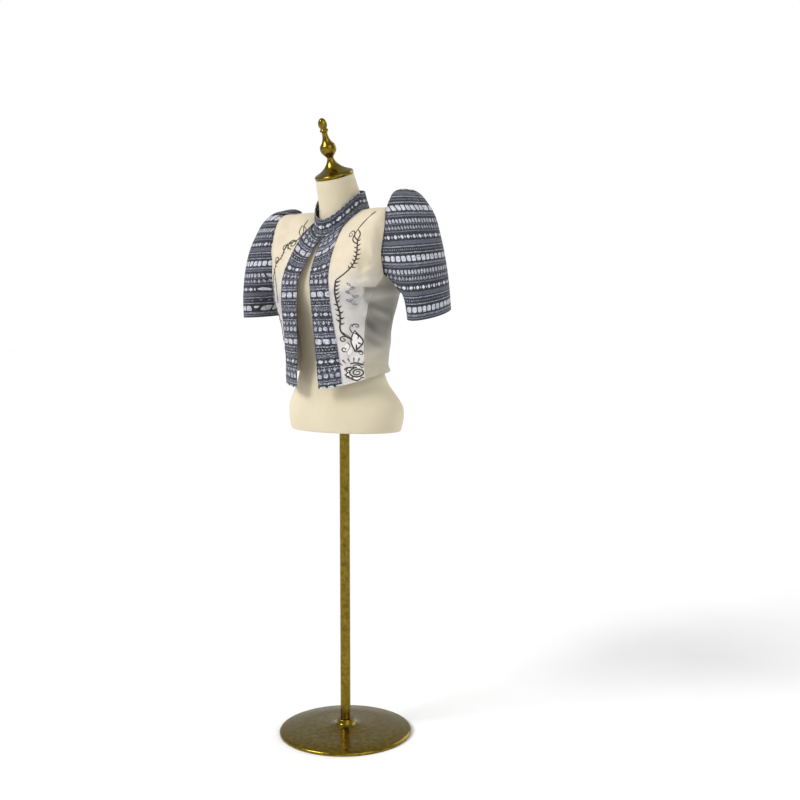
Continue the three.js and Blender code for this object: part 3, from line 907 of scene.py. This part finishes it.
def armhole_rim(columns):
    """The armhole from the shoulder tip over the back to the underarm and up the front, as
    points at even distances."""
    levels = even_steps(SHOULDER_TIP, UNDERARM, RIM_STEPS_PER_LOOP * (UNDERARM - SHOULDER_TIP))
    back_edge = [ring_point(ring_at(BODICE_LOOPS, l), edge_angle(l, "back_start")) for l in levels]
    front_edge = [ring_point(ring_at(BODICE_LOOPS, l), edge_angle(l, "front_end")) for l in levels]
    line = back_edge + front_edge[-2::-1]
    reached = lengths_along(line)
    points = []
    at = 0
    for column in range(columns):
        distance = reached[-1] * column / columns
        while reached[at + 1] < distance:
            at += 1
        share = (distance - reached[at]) / (reached[at + 1] - reached[at])
        points.append(line[at].lerp(line[at + 1], share))
    return points


def mix(first, second, share):
    return first + (second - first) * share


def bezier(start, after, before, end, part):
    rest = 1 - part
    return (start * rest**3 + after * (3 * rest * rest * part)
            + before * (3 * rest * part * part) + end * part**3)


def pleat_offset(turn, down):
    growth = min(down / PLEAT_START, 1)
    fade = max(1 - down / PLEAT_REACH, 0) ** PLEAT_FADE
    share = mix(UNDERARM_PLEAT_SHARE, 1, (cos(turn) + 1) / 2)
    return -PLEAT_DEPTH * growth * fade * share * (1 - cos(PLEAT_COUNT * turn))


# Where each crease of a sleeve lies, as degrees round from the shoulder over the back and as
# a share of the way down, with how far it runs, how deep it is and how it slants
SleeveCrease = namedtuple("SleeveCrease", "side around down around_span down_span depth slant")
SLEEVE_CREASES = [
    SleeveCrease(1, 352, 0.30, 5, 0.20, -0.0035, 0),
    SleeveCrease(1, 318, 0.62, 26, 0.05, -0.0022, 0.0010),
    SleeveCrease(1, 40, 0.70, 30, 0.06, 0.0024, -0.0008),
    SleeveCrease(1, 190, 0.55, 40, 0.07, 0.0035, 0.0006),
    SleeveCrease(1, 262, 0.82, 34, 0.06, -0.0025, 0.0008),
    SleeveCrease(-1, 8, 0.22, 7, 0.16, -0.0060, 0),
    SleeveCrease(-1, 338, 0.26, 8, 0.18, -0.0055, 0),
    SleeveCrease(-1, 28, 0.28, 9, 0.16, -0.0050, 0),
    SleeveCrease(-1, 318, 0.30, 8, 0.16, 0.0045, 0),
    SleeveCrease(-1, 300, 0.66, 30, 0.06, -0.0026, 0.0010),
    SleeveCrease(-1, 60, 0.60, 26, 0.07, 0.0026, -0.0010),
    SleeveCrease(-1, 180, 0.50, 40, 0.08, 0.0030, 0),
]


def sleeve_crease_offset(side, turn, down):
    offset = 0.0
    for crease in SLEEVE_CREASES:
        if crease.side == side:
            beside = (degrees(turn) - crease.around + 180) % 360 - 180
            away = (down - crease.down - crease.slant * beside) / crease.down_span
            offset += crease.depth * exp(-away * away - (beside / crease.around_span) ** 2)
    return offset


def gather_offset(turn, down):
    """The small ruffled bumps where the sleeve is drawn up to the armhole."""
    near_seam = exp(-((down / GATHER_REACH) ** 2)) * min(down / GATHER_START, 1)
    wander = GATHER_WANDER * sin(GATHER_WANDER_COUNT * turn)
    return -GATHER_DEPTH * near_seam * (1 - cos(GATHER_COUNT * turn + wander))


def sleeve_grid(shape):
    rim = armhole_rim(SLEEVE_COLUMNS)
    centre = sum(rim, Vector()) / len(rim)
    paths = []
    for column, edge in enumerate(rim):
        turn = 2 * pi * column / SLEEVE_COLUMNS
        up, back = cos(turn), sin(turn)
        start = edge.lerp(centre, RIM_INSET) + Vector((RIM_CLEARANCE, 0, 0))
        hem = Vector((
            shape.hem_x + shape.hem_half_x * up,
            shape.hem_y + shape.hem_half_y * back,
            mix(shape.hem_front_z, shape.hem_back_z, (back + 1) / 2),
        ))
        rise = max(up, 0) ** CROWN_ROUNDNESS
        outwards = Vector((
            mix(shape.side_out, shape.crown_out, rise),
            back * shape.forward,
            rise * shape.crown_rise + min(up, 0) * UNDERARM_DROP,
        ))
        if up > 0:
            hang = mix(SIDE_HANG, shape.crown_hang, up**CROWN_TAPER)
        else:
            hang = mix(SIDE_HANG, UNDERARM_HANG, -up)
        before_hem = hem + Vector((-shape.flare * hang, HEM_FORWARD_SHARE * back * shape.forward, hang))
        paths.append((start, start + outwards, before_hem, hem))
    plain = [[bezier(*path, (r / SLEEVE_ROWS) ** ROW_SPACING) for path in paths]
             for r in range(SLEEVE_ROWS + 1)]
    normals = grid_normals(plain, closed=True)
    grid = []
    for r, row in enumerate(plain):
        line = []
        for column, point in enumerate(row):
            turn = 2 * pi * column / SLEEVE_COLUMNS
            down = r / SLEEVE_ROWS
            offset = pleat_offset(turn, down) + gather_offset(turn, down)
            offset += sleeve_crease_offset(shape.side, turn, down)
            line.append(point + normals[r][column] * offset)
        grid.append(line)
    return grid


def sleeve_laid(shape, grid):
    """Each point's place on the flat sleeve: how far round from the outer line that runs down
    from the shoulder, and how far up from the hem, whose slope fades out above it."""
    columns = len(grid[0])
    hem_row = grid[-1]
    hem_mean = sum(point.z for point in hem_row) / columns
    outer_line = [row[0] for row in grid]
    top = max(range(len(outer_line)), key=lambda r: outer_line[r].z)
    outer_line = outer_line[top:]

    def outer_x(height):
        for above, below in zip(outer_line, outer_line[1:]):
            if height >= below.z:
                share = min((above.z - height) / (above.z - below.z), 1)
                return mix(above.x, below.x, max(share, 0))
        return outer_line[-1].x

    laid = []
    for row in grid:
        line = []
        for c, point in enumerate(row):
            share = min((point.z - hem_row[c].z) / HEM_SLOPE_REACH, 1)
            beside = point.y - shape.hem_y
            inward = max(outer_x(point.z) - point.x, 0)
            reach = abs(beside) + inward
            u = reach if c < columns / 2 else -reach
            line.append((u, point.z - mix(hem_row[c].z, hem_mean, share)))
        laid.append(line)
    return laid


def from_underarm(rows):
    """The rows of a sleeve turned round to begin and end at the underarm, where its seam is."""
    half = len(rows[0]) // 2
    return [row[half:] + row[:half] for row in rows]


def mirrored(grid, side):
    if side > 0:
        return grid
    return [[Vector((-point.x, point.y, point.z)) for point in reversed(row)] for row in grid]


sleeve_print = printed_finish("printed_cotton_sleeve", shift=0.0316, busyness=0.3)
for shape in SLEEVES:
    grid = sleeve_grid(shape)
    laid = from_underarm(sleeve_laid(shape, grid))
    grid = from_underarm(grid)
    if shape.side < 0:
        laid = [[(-u, v) for u, v in reversed(row)] for row in laid]
    sleeve = cloth_piece(shape.name, mirrored(grid, shape.side), CLOTH_WALL, sleeve_print,
                         closed=True, laid=laid)
    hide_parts(shape.node)
    neighbour = "front_cloth_left" if shape.side > 0 else "front_cloth_right"


# Embroidery: dark cord and thread couched on both front panels in a vine with thorns, leaves,
# curls and a rose above the hem. Pale satin stitch fills the leaves and petals.
CORD_HEIGHT = 0.0009
CORD_SIDES = 6
CORD_STEP = 0.0016
CORD_END_SHARE, CORD_END_GROWTH = 0.55, 0.3
HEAVY, MEDIUM, FINE, TIP = 0.0023, 0.0017, 0.0011, 0.0005
LEAF_STEPS = 8
LEAF_TAPER = 1.2
THORN_STEPS = 5
THORN_LEAN, THORN_HOOK = 0.45, 1.9
SPRAY_LEAVES = ((-38, 0.8), (0, 1.0), (38, 0.8))
Stroke = namedtuple("Stroke", "points start_width end_width")


def length_between(start, end):
    return hypot(end[0] - start[0], end[1] - start[1])


def beside_line(start, end, share, out):
    """The point this share of the way from start to end, moved out to the line's left."""
    length = length_between(start, end)
    along = (end[0] - start[0], end[1] - start[1])
    return (start[0] + along[0] * share - along[1] / length * out,
            start[1] + along[1] * share + along[0] / length * out)


def vine(start, end, sway, waves=1):
    """A stem between two points that sways evenly to either side, one way for each wave."""
    steps = max(ceil(length_between(start, end) / CORD_STEP), 3)
    shares = even_steps(0, 1, steps)
    return [beside_line(start, end, share, sway * sin(waves * pi * share)) for share in shares]


def curl(centre, radius, turns, start, way=1, tightness=0.85):
    """A spiral that winds inward from the given angle."""
    steps = ceil(abs(turns) * 2 * pi * radius / CORD_STEP)
    line = []
    for step in range(steps + 1):
        share = step / steps
        angle = radians(start) + way * turns * 2 * pi * share
        reach = radius * (1 - tightness * share)
        line.append((centre[0] + reach * cos(angle), centre[1] + reach * sin(angle)))
    return line


def leaf(stem, tip, width, lean=0.0):
    """A closed pointed leaf from its stem to its tip, bent sideways by lean."""
    line = []
    for side in (1, -1):
        for step_share in even_steps(0, 1, LEAF_STEPS):
            share = step_share if side > 0 else 1 - step_share
            swell = sin(pi * share)
            line.append(beside_line(stem, tip, share, side * width * swell**LEAF_TAPER / 2 + lean * swell))
    return line


def thorns(line, pitch, reach, sides=(1,), width=HEAVY):
    """Short hooked thorns along a line, thick at the stem and thin at the tip."""
    strokes = []
    gap = pitch / 2
    for start, end in zip(line, line[1:]):
        length = length_between(start, end)
        gap += length
        if gap < pitch or length == 0:
            continue
        gap = 0.0
        side = sides[len(strokes) % len(sides)]
        points = []
        for share in even_steps(0, 1, THORN_STEPS):
            lean = THORN_LEAN * reach * (share - share * share * THORN_HOOK)
            points.append(beside_line(start, end, lean / length, side * reach * share))
        strokes.append(Stroke(points, width, TIP))
    return strokes


def spray(foot, angle, reach, width=MEDIUM):
    """Three small leaves that fan out from one point."""
    strokes = []
    for turn, share in SPRAY_LEAVES:
        way = radians(angle + turn)
        tip = (foot[0] + reach * share * cos(way), foot[1] + reach * share * sin(way))
        strokes.append(Stroke(vine(foot, tip, 0), width, TIP))
    return strokes


# The lower half of the design, which both panels share
LEAF_STEM, LEAF_TIP = (0.114, 1.006), (0.109, 0.957)
LEAF_WIDTH, LEAF_LEAN = 0.018, 0.002
ROSE = (0.111, 0.908)
ROSE_RADIUS = 0.0125
PETALS = 6
PETAL_RISE = 0.42
RAYS = 6
RAY_FIRST_ANGLE, RAY_STEP_ANGLE = 58, 16
RAY_OUTER, RAY_INNER, RAY_SHIFT = 0.035, 0.024, 0.004
PETAL_STEPS = 10
PETAL_ROUNDNESS = 0.6


def round_point(centre, reach, angle):
    return (centre[0] + reach * cos(angle), centre[1] + reach * sin(angle))


ray_centre = (ROSE[0] - RAY_SHIFT, ROSE[1])
ray_strokes = []
for ray in range(RAYS):
    angle = radians(RAY_FIRST_ANGLE + RAY_STEP_ANGLE * ray)
    outer = round_point(ray_centre, RAY_OUTER, angle)
    inner = round_point(ray_centre, RAY_INNER, angle)
    ray_strokes.append(Stroke(vine(outer, inner, 0), HEAVY, TIP))
petal_shapes = []
for petal in range(PETALS):
    outline = []
    for share in even_steps(0, 1, PETAL_STEPS):
        reach = ROSE_RADIUS * (1 + PETAL_RISE * sin(pi * share) ** PETAL_ROUNDNESS)
        outline.append(round_point(ROSE, reach, 2 * pi * (petal + share) / PETALS))
    petal_shapes.append(outline)
lower_strokes = [
    Stroke(vine((0.092, 1.020), (0.111, 0.960), -0.005, 2), HEAVY, HEAVY),
    Stroke(leaf(LEAF_STEM, LEAF_TIP, LEAF_WIDTH, LEAF_LEAN), HEAVY, MEDIUM),
    Stroke(vine((0.112, 1.000), (0.120, 0.974), 0.004, 2), FINE, HEAVY),
    Stroke(vine((0.092, 1.003), (0.105, 0.990), 0.001), FINE, TIP),
    Stroke(vine((0.110, 1.000), (0.112, 1.022), 0.003), MEDIUM, TIP),
    Stroke(curl((0.117, 1.016), 0.006, 1.1, 200, -1), MEDIUM, TIP),
    Stroke(curl((0.094, 0.985), 0.007, 1.2, 60), MEDIUM, FINE),
    Stroke(curl((0.094, 0.962), 0.006, 1.1, 300, -1), MEDIUM, FINE),
    Stroke(vine((0.099, 0.979), (0.100, 0.944), 0.003, 2), FINE, TIP),
    Stroke(curl((0.098, 0.915), 0.006, 1.1, 200, -1), MEDIUM, FINE),
    Stroke(curl((0.117, 0.952), 0.007, 0.8, 150, -1), MEDIUM, TIP),
    Stroke(vine((0.092, 0.904), (0.117, 0.887), -0.003), MEDIUM, FINE),
    Stroke(vine((0.100, 0.928), (0.121, 0.925), 0.004), MEDIUM, HEAVY),
    Stroke(curl(ROSE, ROSE_RADIUS, 2.2, 90), HEAVY, FINE),
    *spray((0.113, 0.958), -20, 0.009),
    *spray((0.100, 0.900), 215, 0.008),
    *ray_strokes,
    *[Stroke(outline, MEDIUM, MEDIUM) for outline in petal_shapes],
]
satin_shapes = [
    leaf(LEAF_STEM, LEAF_TIP, LEAF_WIDTH, LEAF_LEAN),
    leaf((0.099, 0.976), (0.098, 0.946), 0.014),
    *petal_shapes,
]

# The upper half differs: the wearer's left vine runs down from the shoulder, and the right
# one starts nearer the collar.
STEM_THORNED = 42
EDGE_TURN = 30
left_stem = vine((0.129, 1.213), (0.091, 1.121), 0.019)
left_edge = vine((0.091, 1.121), (0.092, 1.020), -0.003, 2)
right_stem = vine((0.060, 1.240), (0.106, 1.170), -0.006, 3)
right_side = vine((0.106, 1.170), (0.092, 1.020), 0.016)
upper_strokes = {
    "left": [
        Stroke(vine((0.148, 1.279), (0.122, 1.238), -0.002), FINE, MEDIUM),
        Stroke(vine((0.143, 1.280), (0.122, 1.238), 0.002), TIP, FINE),
        Stroke(leaf((0.122, 1.238), (0.129, 1.212), 0.014), MEDIUM, MEDIUM),
        Stroke(vine((0.129, 1.204), (0.117, 1.226), 0.006), MEDIUM, MEDIUM),
        Stroke(curl((0.107, 1.226), 0.010, 1.3, 0), MEDIUM, TIP),
        Stroke(left_stem, MEDIUM, MEDIUM),
        Stroke(left_edge, HEAVY, HEAVY),
        *thorns(left_stem[:STEM_THORNED], 0.0040, 0.0072, (1, -1), 0.0028),
        *thorns(left_edge[:EDGE_TURN], 0.0080, 0.0110, (1,), 0.0036),
        *thorns(left_edge[EDGE_TURN:], 0.0062, 0.0085, (1, -1), 0.0034),
    ],
    "right": [
        Stroke(vine((0.074, 1.273), (0.060, 1.240), 0.003), FINE, FINE),
        Stroke(leaf((0.059, 1.228), (0.076, 1.258), 0.014, 0.002), FINE, FINE),
        Stroke(right_stem, MEDIUM, MEDIUM),
        Stroke(right_side, MEDIUM, HEAVY),
        Stroke(curl((0.074, 1.212), 0.013, 1.5, 260), MEDIUM, FINE),
        Stroke(curl((0.091, 1.203), 0.009, 1.2, 200, -1), MEDIUM, TIP),
        Stroke(curl((0.108, 1.174), 0.009, 1.2, 250, -1), MEDIUM, TIP),
        Stroke(vine((0.110, 1.150), (0.093, 1.070), -0.004), FINE, MEDIUM),
        *thorns(right_stem, 0.0060, 0.0050, (1, -1), FINE),
        *thorns(right_side, 0.0080, 0.0070, (1, -1), MEDIUM),
    ],
}
SPRIG_LEAF_LENGTH, SPRIG_LEAF_WIDTH = 0.008, 0.004
SPRIG_CURL_RADIUS, SPRIG_CURL_TURNS = 0.0035, 1.1
SPRIG_EVERY = 6
grey_sprig = vine((0.120, 1.112), (0.122, 1.064), 0.003, 4)
sprig_strokes = [Stroke(grey_sprig, FINE, TIP)]
for index, (x, z) in enumerate(grey_sprig[2::SPRIG_EVERY]):
    way = 1 if index % 2 else -1
    curl_centre = (x - way * 0.005, z - 0.004)
    small_curl = curl(curl_centre, SPRIG_CURL_RADIUS, SPRIG_CURL_TURNS, 90 + 90 * way, way)
    small_leaf = leaf((x, z), (x + way * SPRIG_LEAF_LENGTH, z + 0.005), SPRIG_LEAF_WIDTH)
    sprig_strokes.append(Stroke(small_leaf, FINE, FINE))
    sprig_strokes.append(Stroke(small_curl, FINE, TIP))


IN_FRONT_Y = -0.4
BACKWARD = Vector((0, 1, 0))


def panel_surface(panel):
    shape = panel.data
    faces = [tuple(face.vertices) for face in shape.polygons]
    return BVHTree.FromPolygons([vertex.co for vertex in shape.vertices], faces)


def spot_on_panel(surface, across, up):
    """The point and normal of the panel that are seen here from the front, or two Nones."""
    spot, normal, _, _ = surface.ray_cast(Vector((across, IN_FRONT_Y, up)), BACKWARD)
    return spot, normal


def ring_round(centre, beside, normal, width, height, sides, first=0.0):
    """One ring of a cord or stitch. first turns it by a share of a side."""
    turns = [2 * pi * (corner + first) / sides for corner in range(sides)]
    return [centre + beside * (width * cos(turn)) + normal * (height * sin(turn)) for turn in turns]


def joined_tubes(name, tubes):
    """One mesh of several closed tubes, each given as rings of points. Tubes that missed the
    cloth are left out."""
    points = []
    faces = []
    for rings in tubes:
        if len(rings) < 2:
            continue
        first = len(points)
        sides = len(rings[0])
        for ring in rings:
            points.extend(ring)
        for r in range(len(rings) - 1):
            for c in range(sides):
                here, beside = first + r * sides + c, first + r * sides + (c + 1) % sides
                faces.append((here, here + sides, beside + sides, beside))
        faces.append(tuple(first + c for c in range(sides)))
        faces.append(tuple(reversed([len(points) - sides + c for c in range(sides)])))
    mesh = bpy.data.meshes.new(name)
    mesh.from_pydata(points, [], faces)
    piece = bpy.data.objects.new(name, mesh)
    bpy.context.collection.objects.link(piece)
    face_outward(piece)
    shade_smooth(piece, 70)
    return piece


def cord_on_panel(stroke, surface, side):
    """A half-round cord lying on the panel along a stroke's (across, height) points."""
    spots = []
    for across, up in stroke.points:
        spot, normal = spot_on_panel(surface, side * across, up)
        if spot is not None:
            spots.append((spot, normal))
    rings = []
    last = len(spots) - 1
    for index, (spot, normal) in enumerate(spots):
        along = spots[min(index + 1, last)][0] - spots[max(index - 1, 0)][0]
        if along.length == 0:
            continue
        beside = along.normalized().cross(normal).normalized()
        width = mix(stroke.start_width, stroke.end_width, index / last)
        width *= min(1, CORD_END_SHARE + CORD_END_GROWTH * min(index, last - index))
        rings.append(ring_round(spot, beside, normal, width, CORD_HEIGHT, CORD_SIDES, 0.5))
    return rings


SATIN_HEIGHT = 0.0005
SATIN_RINGS = ((1.0, -0.5), (1.0, 0.6), (0.6, 1.0), (0.1, 1.0))


def satin_on_panel(outline, surface, side):
    """A low pad of satin stitch inside an outline, as a shrinking stack of rings."""
    middle = [sum(axis) / len(outline) for axis in zip(*outline)]
    rings = []
    for share, lift in SATIN_RINGS:
        ring = []
        for across, up in outline:
            x = mix(middle[0], across, share)
            z = mix(middle[1], up, share)
            spot, normal = spot_on_panel(surface, side * x, z)
            if spot is None:
                return []
            ring.append(spot + normal * (SATIN_HEIGHT * lift))
        rings.append(ring)
    return rings


def thread_finish(name, dark, light):
    thread = Finish(name, Sheen_Weight=0.2)
    place = thread.place()
    strands = thread.noise(place, 900, 3.0)
    patches = thread.noise(place, 40, 2.0)
    thread.show("Base Color", thread.blend(strands * 0.6 + patches * 0.4, dark, light))
    thread.show("Roughness", strands * 0.25 + 0.5)
    thread.bump(strands, 0.0003)
    return thread


dark_thread = thread_finish("dark_thread", paint(20, 15, 15), paint(62, 50, 46))
grey_thread = thread_finish("grey_thread", paint(84, 86, 98), paint(150, 150, 160))
white_thread = thread_finish("white_thread", paint(214, 210, 208), paint(246, 243, 240))
for side, name in ((1, "left"), (-1, "right")):
    surface = panel_surface(bpy.data.objects["front_cloth_" + name])
    dark_cords = [cord_on_panel(stroke, surface, side) for stroke in upper_strokes[name] + lower_strokes]
    grey_cords = [cord_on_panel(stroke, surface, side) for stroke in sprig_strokes]
    pads = [satin_on_panel(shape, surface, side) for shape in satin_shapes]
    parts = (
        ("embroidered_vine_", dark_thread, dark_cords),
        ("embroidered_sprig_", grey_thread, grey_cords),
        ("embroidered_petals_", white_thread, pads),
    )
    for prefix, thread, tubes in parts:
        piece = joined_tubes(prefix + name, tubes)
        thread.cover(piece)
        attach(piece, "root")


# Stitching: machine-sewn rows in dark thread along the bands, collar and sleeve hems, and in
# pale thread along the seams and the turned-up hem of the body.
STITCH_PITCH = 0.0038
STITCH_LENGTH = 0.0028
STITCH_RADIUS = 0.00032
STITCH_SIDES = 5
HEM_STITCH_ROW = -3
SLEEVE_STITCH_ROWS = (2, SLEEVE_ROWS - 6)
STITCH_RINGS = ((0.0, 0.35, -0.6), (0.18, 0.9, 0.4), (0.5, 1.0, 0.8), (0.82, 0.9, 0.4), (1.0, 0.35, -0.6))


def stitches_along(points, normals):
    """Short rounded stitches that dip into the cloth at both ends."""
    reached = lengths_along(points)
    tubes = []
    at = 0

    def spot(distance, start):
        while start < len(reached) - 2 and reached[start + 1] < distance:
            start += 1
        share = (distance - reached[start]) / max(reached[start + 1] - reached[start], 1e-9)
        point = points[start].lerp(points[start + 1], share)
        return point, normals[start].lerp(normals[start + 1], share).normalized(), start

    for stitch in range(int(reached[-1] / STITCH_PITCH)):
        begin = stitch * STITCH_PITCH
        first, _, at = spot(begin, at)
        last, _, _ = spot(begin + STITCH_LENGTH, at)
        along = (last - first).normalized()
        rings = []
        for share, thickness, lift in STITCH_RINGS:
            point, normal, _ = spot(begin + share * STITCH_LENGTH, at)
            beside = along.cross(normal).normalized()
            centre = point + normal * (lift * STITCH_RADIUS)
            radius = STITCH_RADIUS * thickness
            rings.append(ring_round(centre, beside, normal, radius, radius, STITCH_SIDES))
        tubes.append(rings)
    return tubes


def down_column(grid, normals, share):
    """The line down a grid at a share of its width, with its normals."""
    column = round(share * (len(grid[0]) - 1))
    return [row[column] for row in grid], [row[column] for row in normals]


def along_row(grid, normals, row, closed=False):
    line, line_normals = list(grid[row]), list(normals[row])
    if closed:
        line.append(line[0])
        line_normals.append(line_normals[0])
    return line, line_normals


dark_tubes = []
pale_tubes = []
for side in (1, -1):
    grid = moved_grid(panel_grid(on_side(band_angles, side)), SEAM_GAP + BAND_WALL)
    normals = grid_normals(grid)
    for share in (1 / BAND_STEPS, 1 - 1 / BAND_STEPS):
        dark_tubes += stitches_along(*down_column(grid, normals, share))
    grid = panel_grid(on_side(front_angles, side))
    normals = grid_normals(grid)
    seam_share = 1 - 1 / FRONT_COLUMNS if side > 0 else 1 / FRONT_COLUMNS
    pale_tubes += stitches_along(*down_column(grid, normals, seam_share))
    pale_tubes += stitches_along(*along_row(grid, normals, HEM_STITCH_ROW))
collar_normals = grid_normals(collar_grid)
for row in (1, COLLAR_ROWS - 1):
    dark_tubes += stitches_along(*along_row(collar_grid, collar_normals, row))
grid = panel_grid(back_angles)
normals = grid_normals(grid)
pale_tubes += stitches_along(*along_row(grid, normals, HEM_STITCH_ROW))
for share in (1 / BACK_COLUMNS, 1 - 1 / BACK_COLUMNS):
    pale_tubes += stitches_along(*down_column(grid, normals, share))
for shape in SLEEVES:
    grid = mirrored(sleeve_grid(shape), shape.side)
    normals = grid_normals(grid, closed=True)
    for row in SLEEVE_STITCH_ROWS:
        dark_tubes += stitches_along(*along_row(grid, normals, row, closed=True))

pale_thread = thread_finish("pale_thread", paint(168, 160, 140), paint(214, 206, 188))
for name, tubes, thread, slot in (
    ("dark_stitching", dark_tubes, dark_thread, "patterned_cloth"),
    ("pale_stitching", pale_tubes, pale_thread, "embroidered_cloth"),
):
    stitching = joined_tubes(name, tubes)
    thread.cover(stitching)
    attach(stitching, "root")
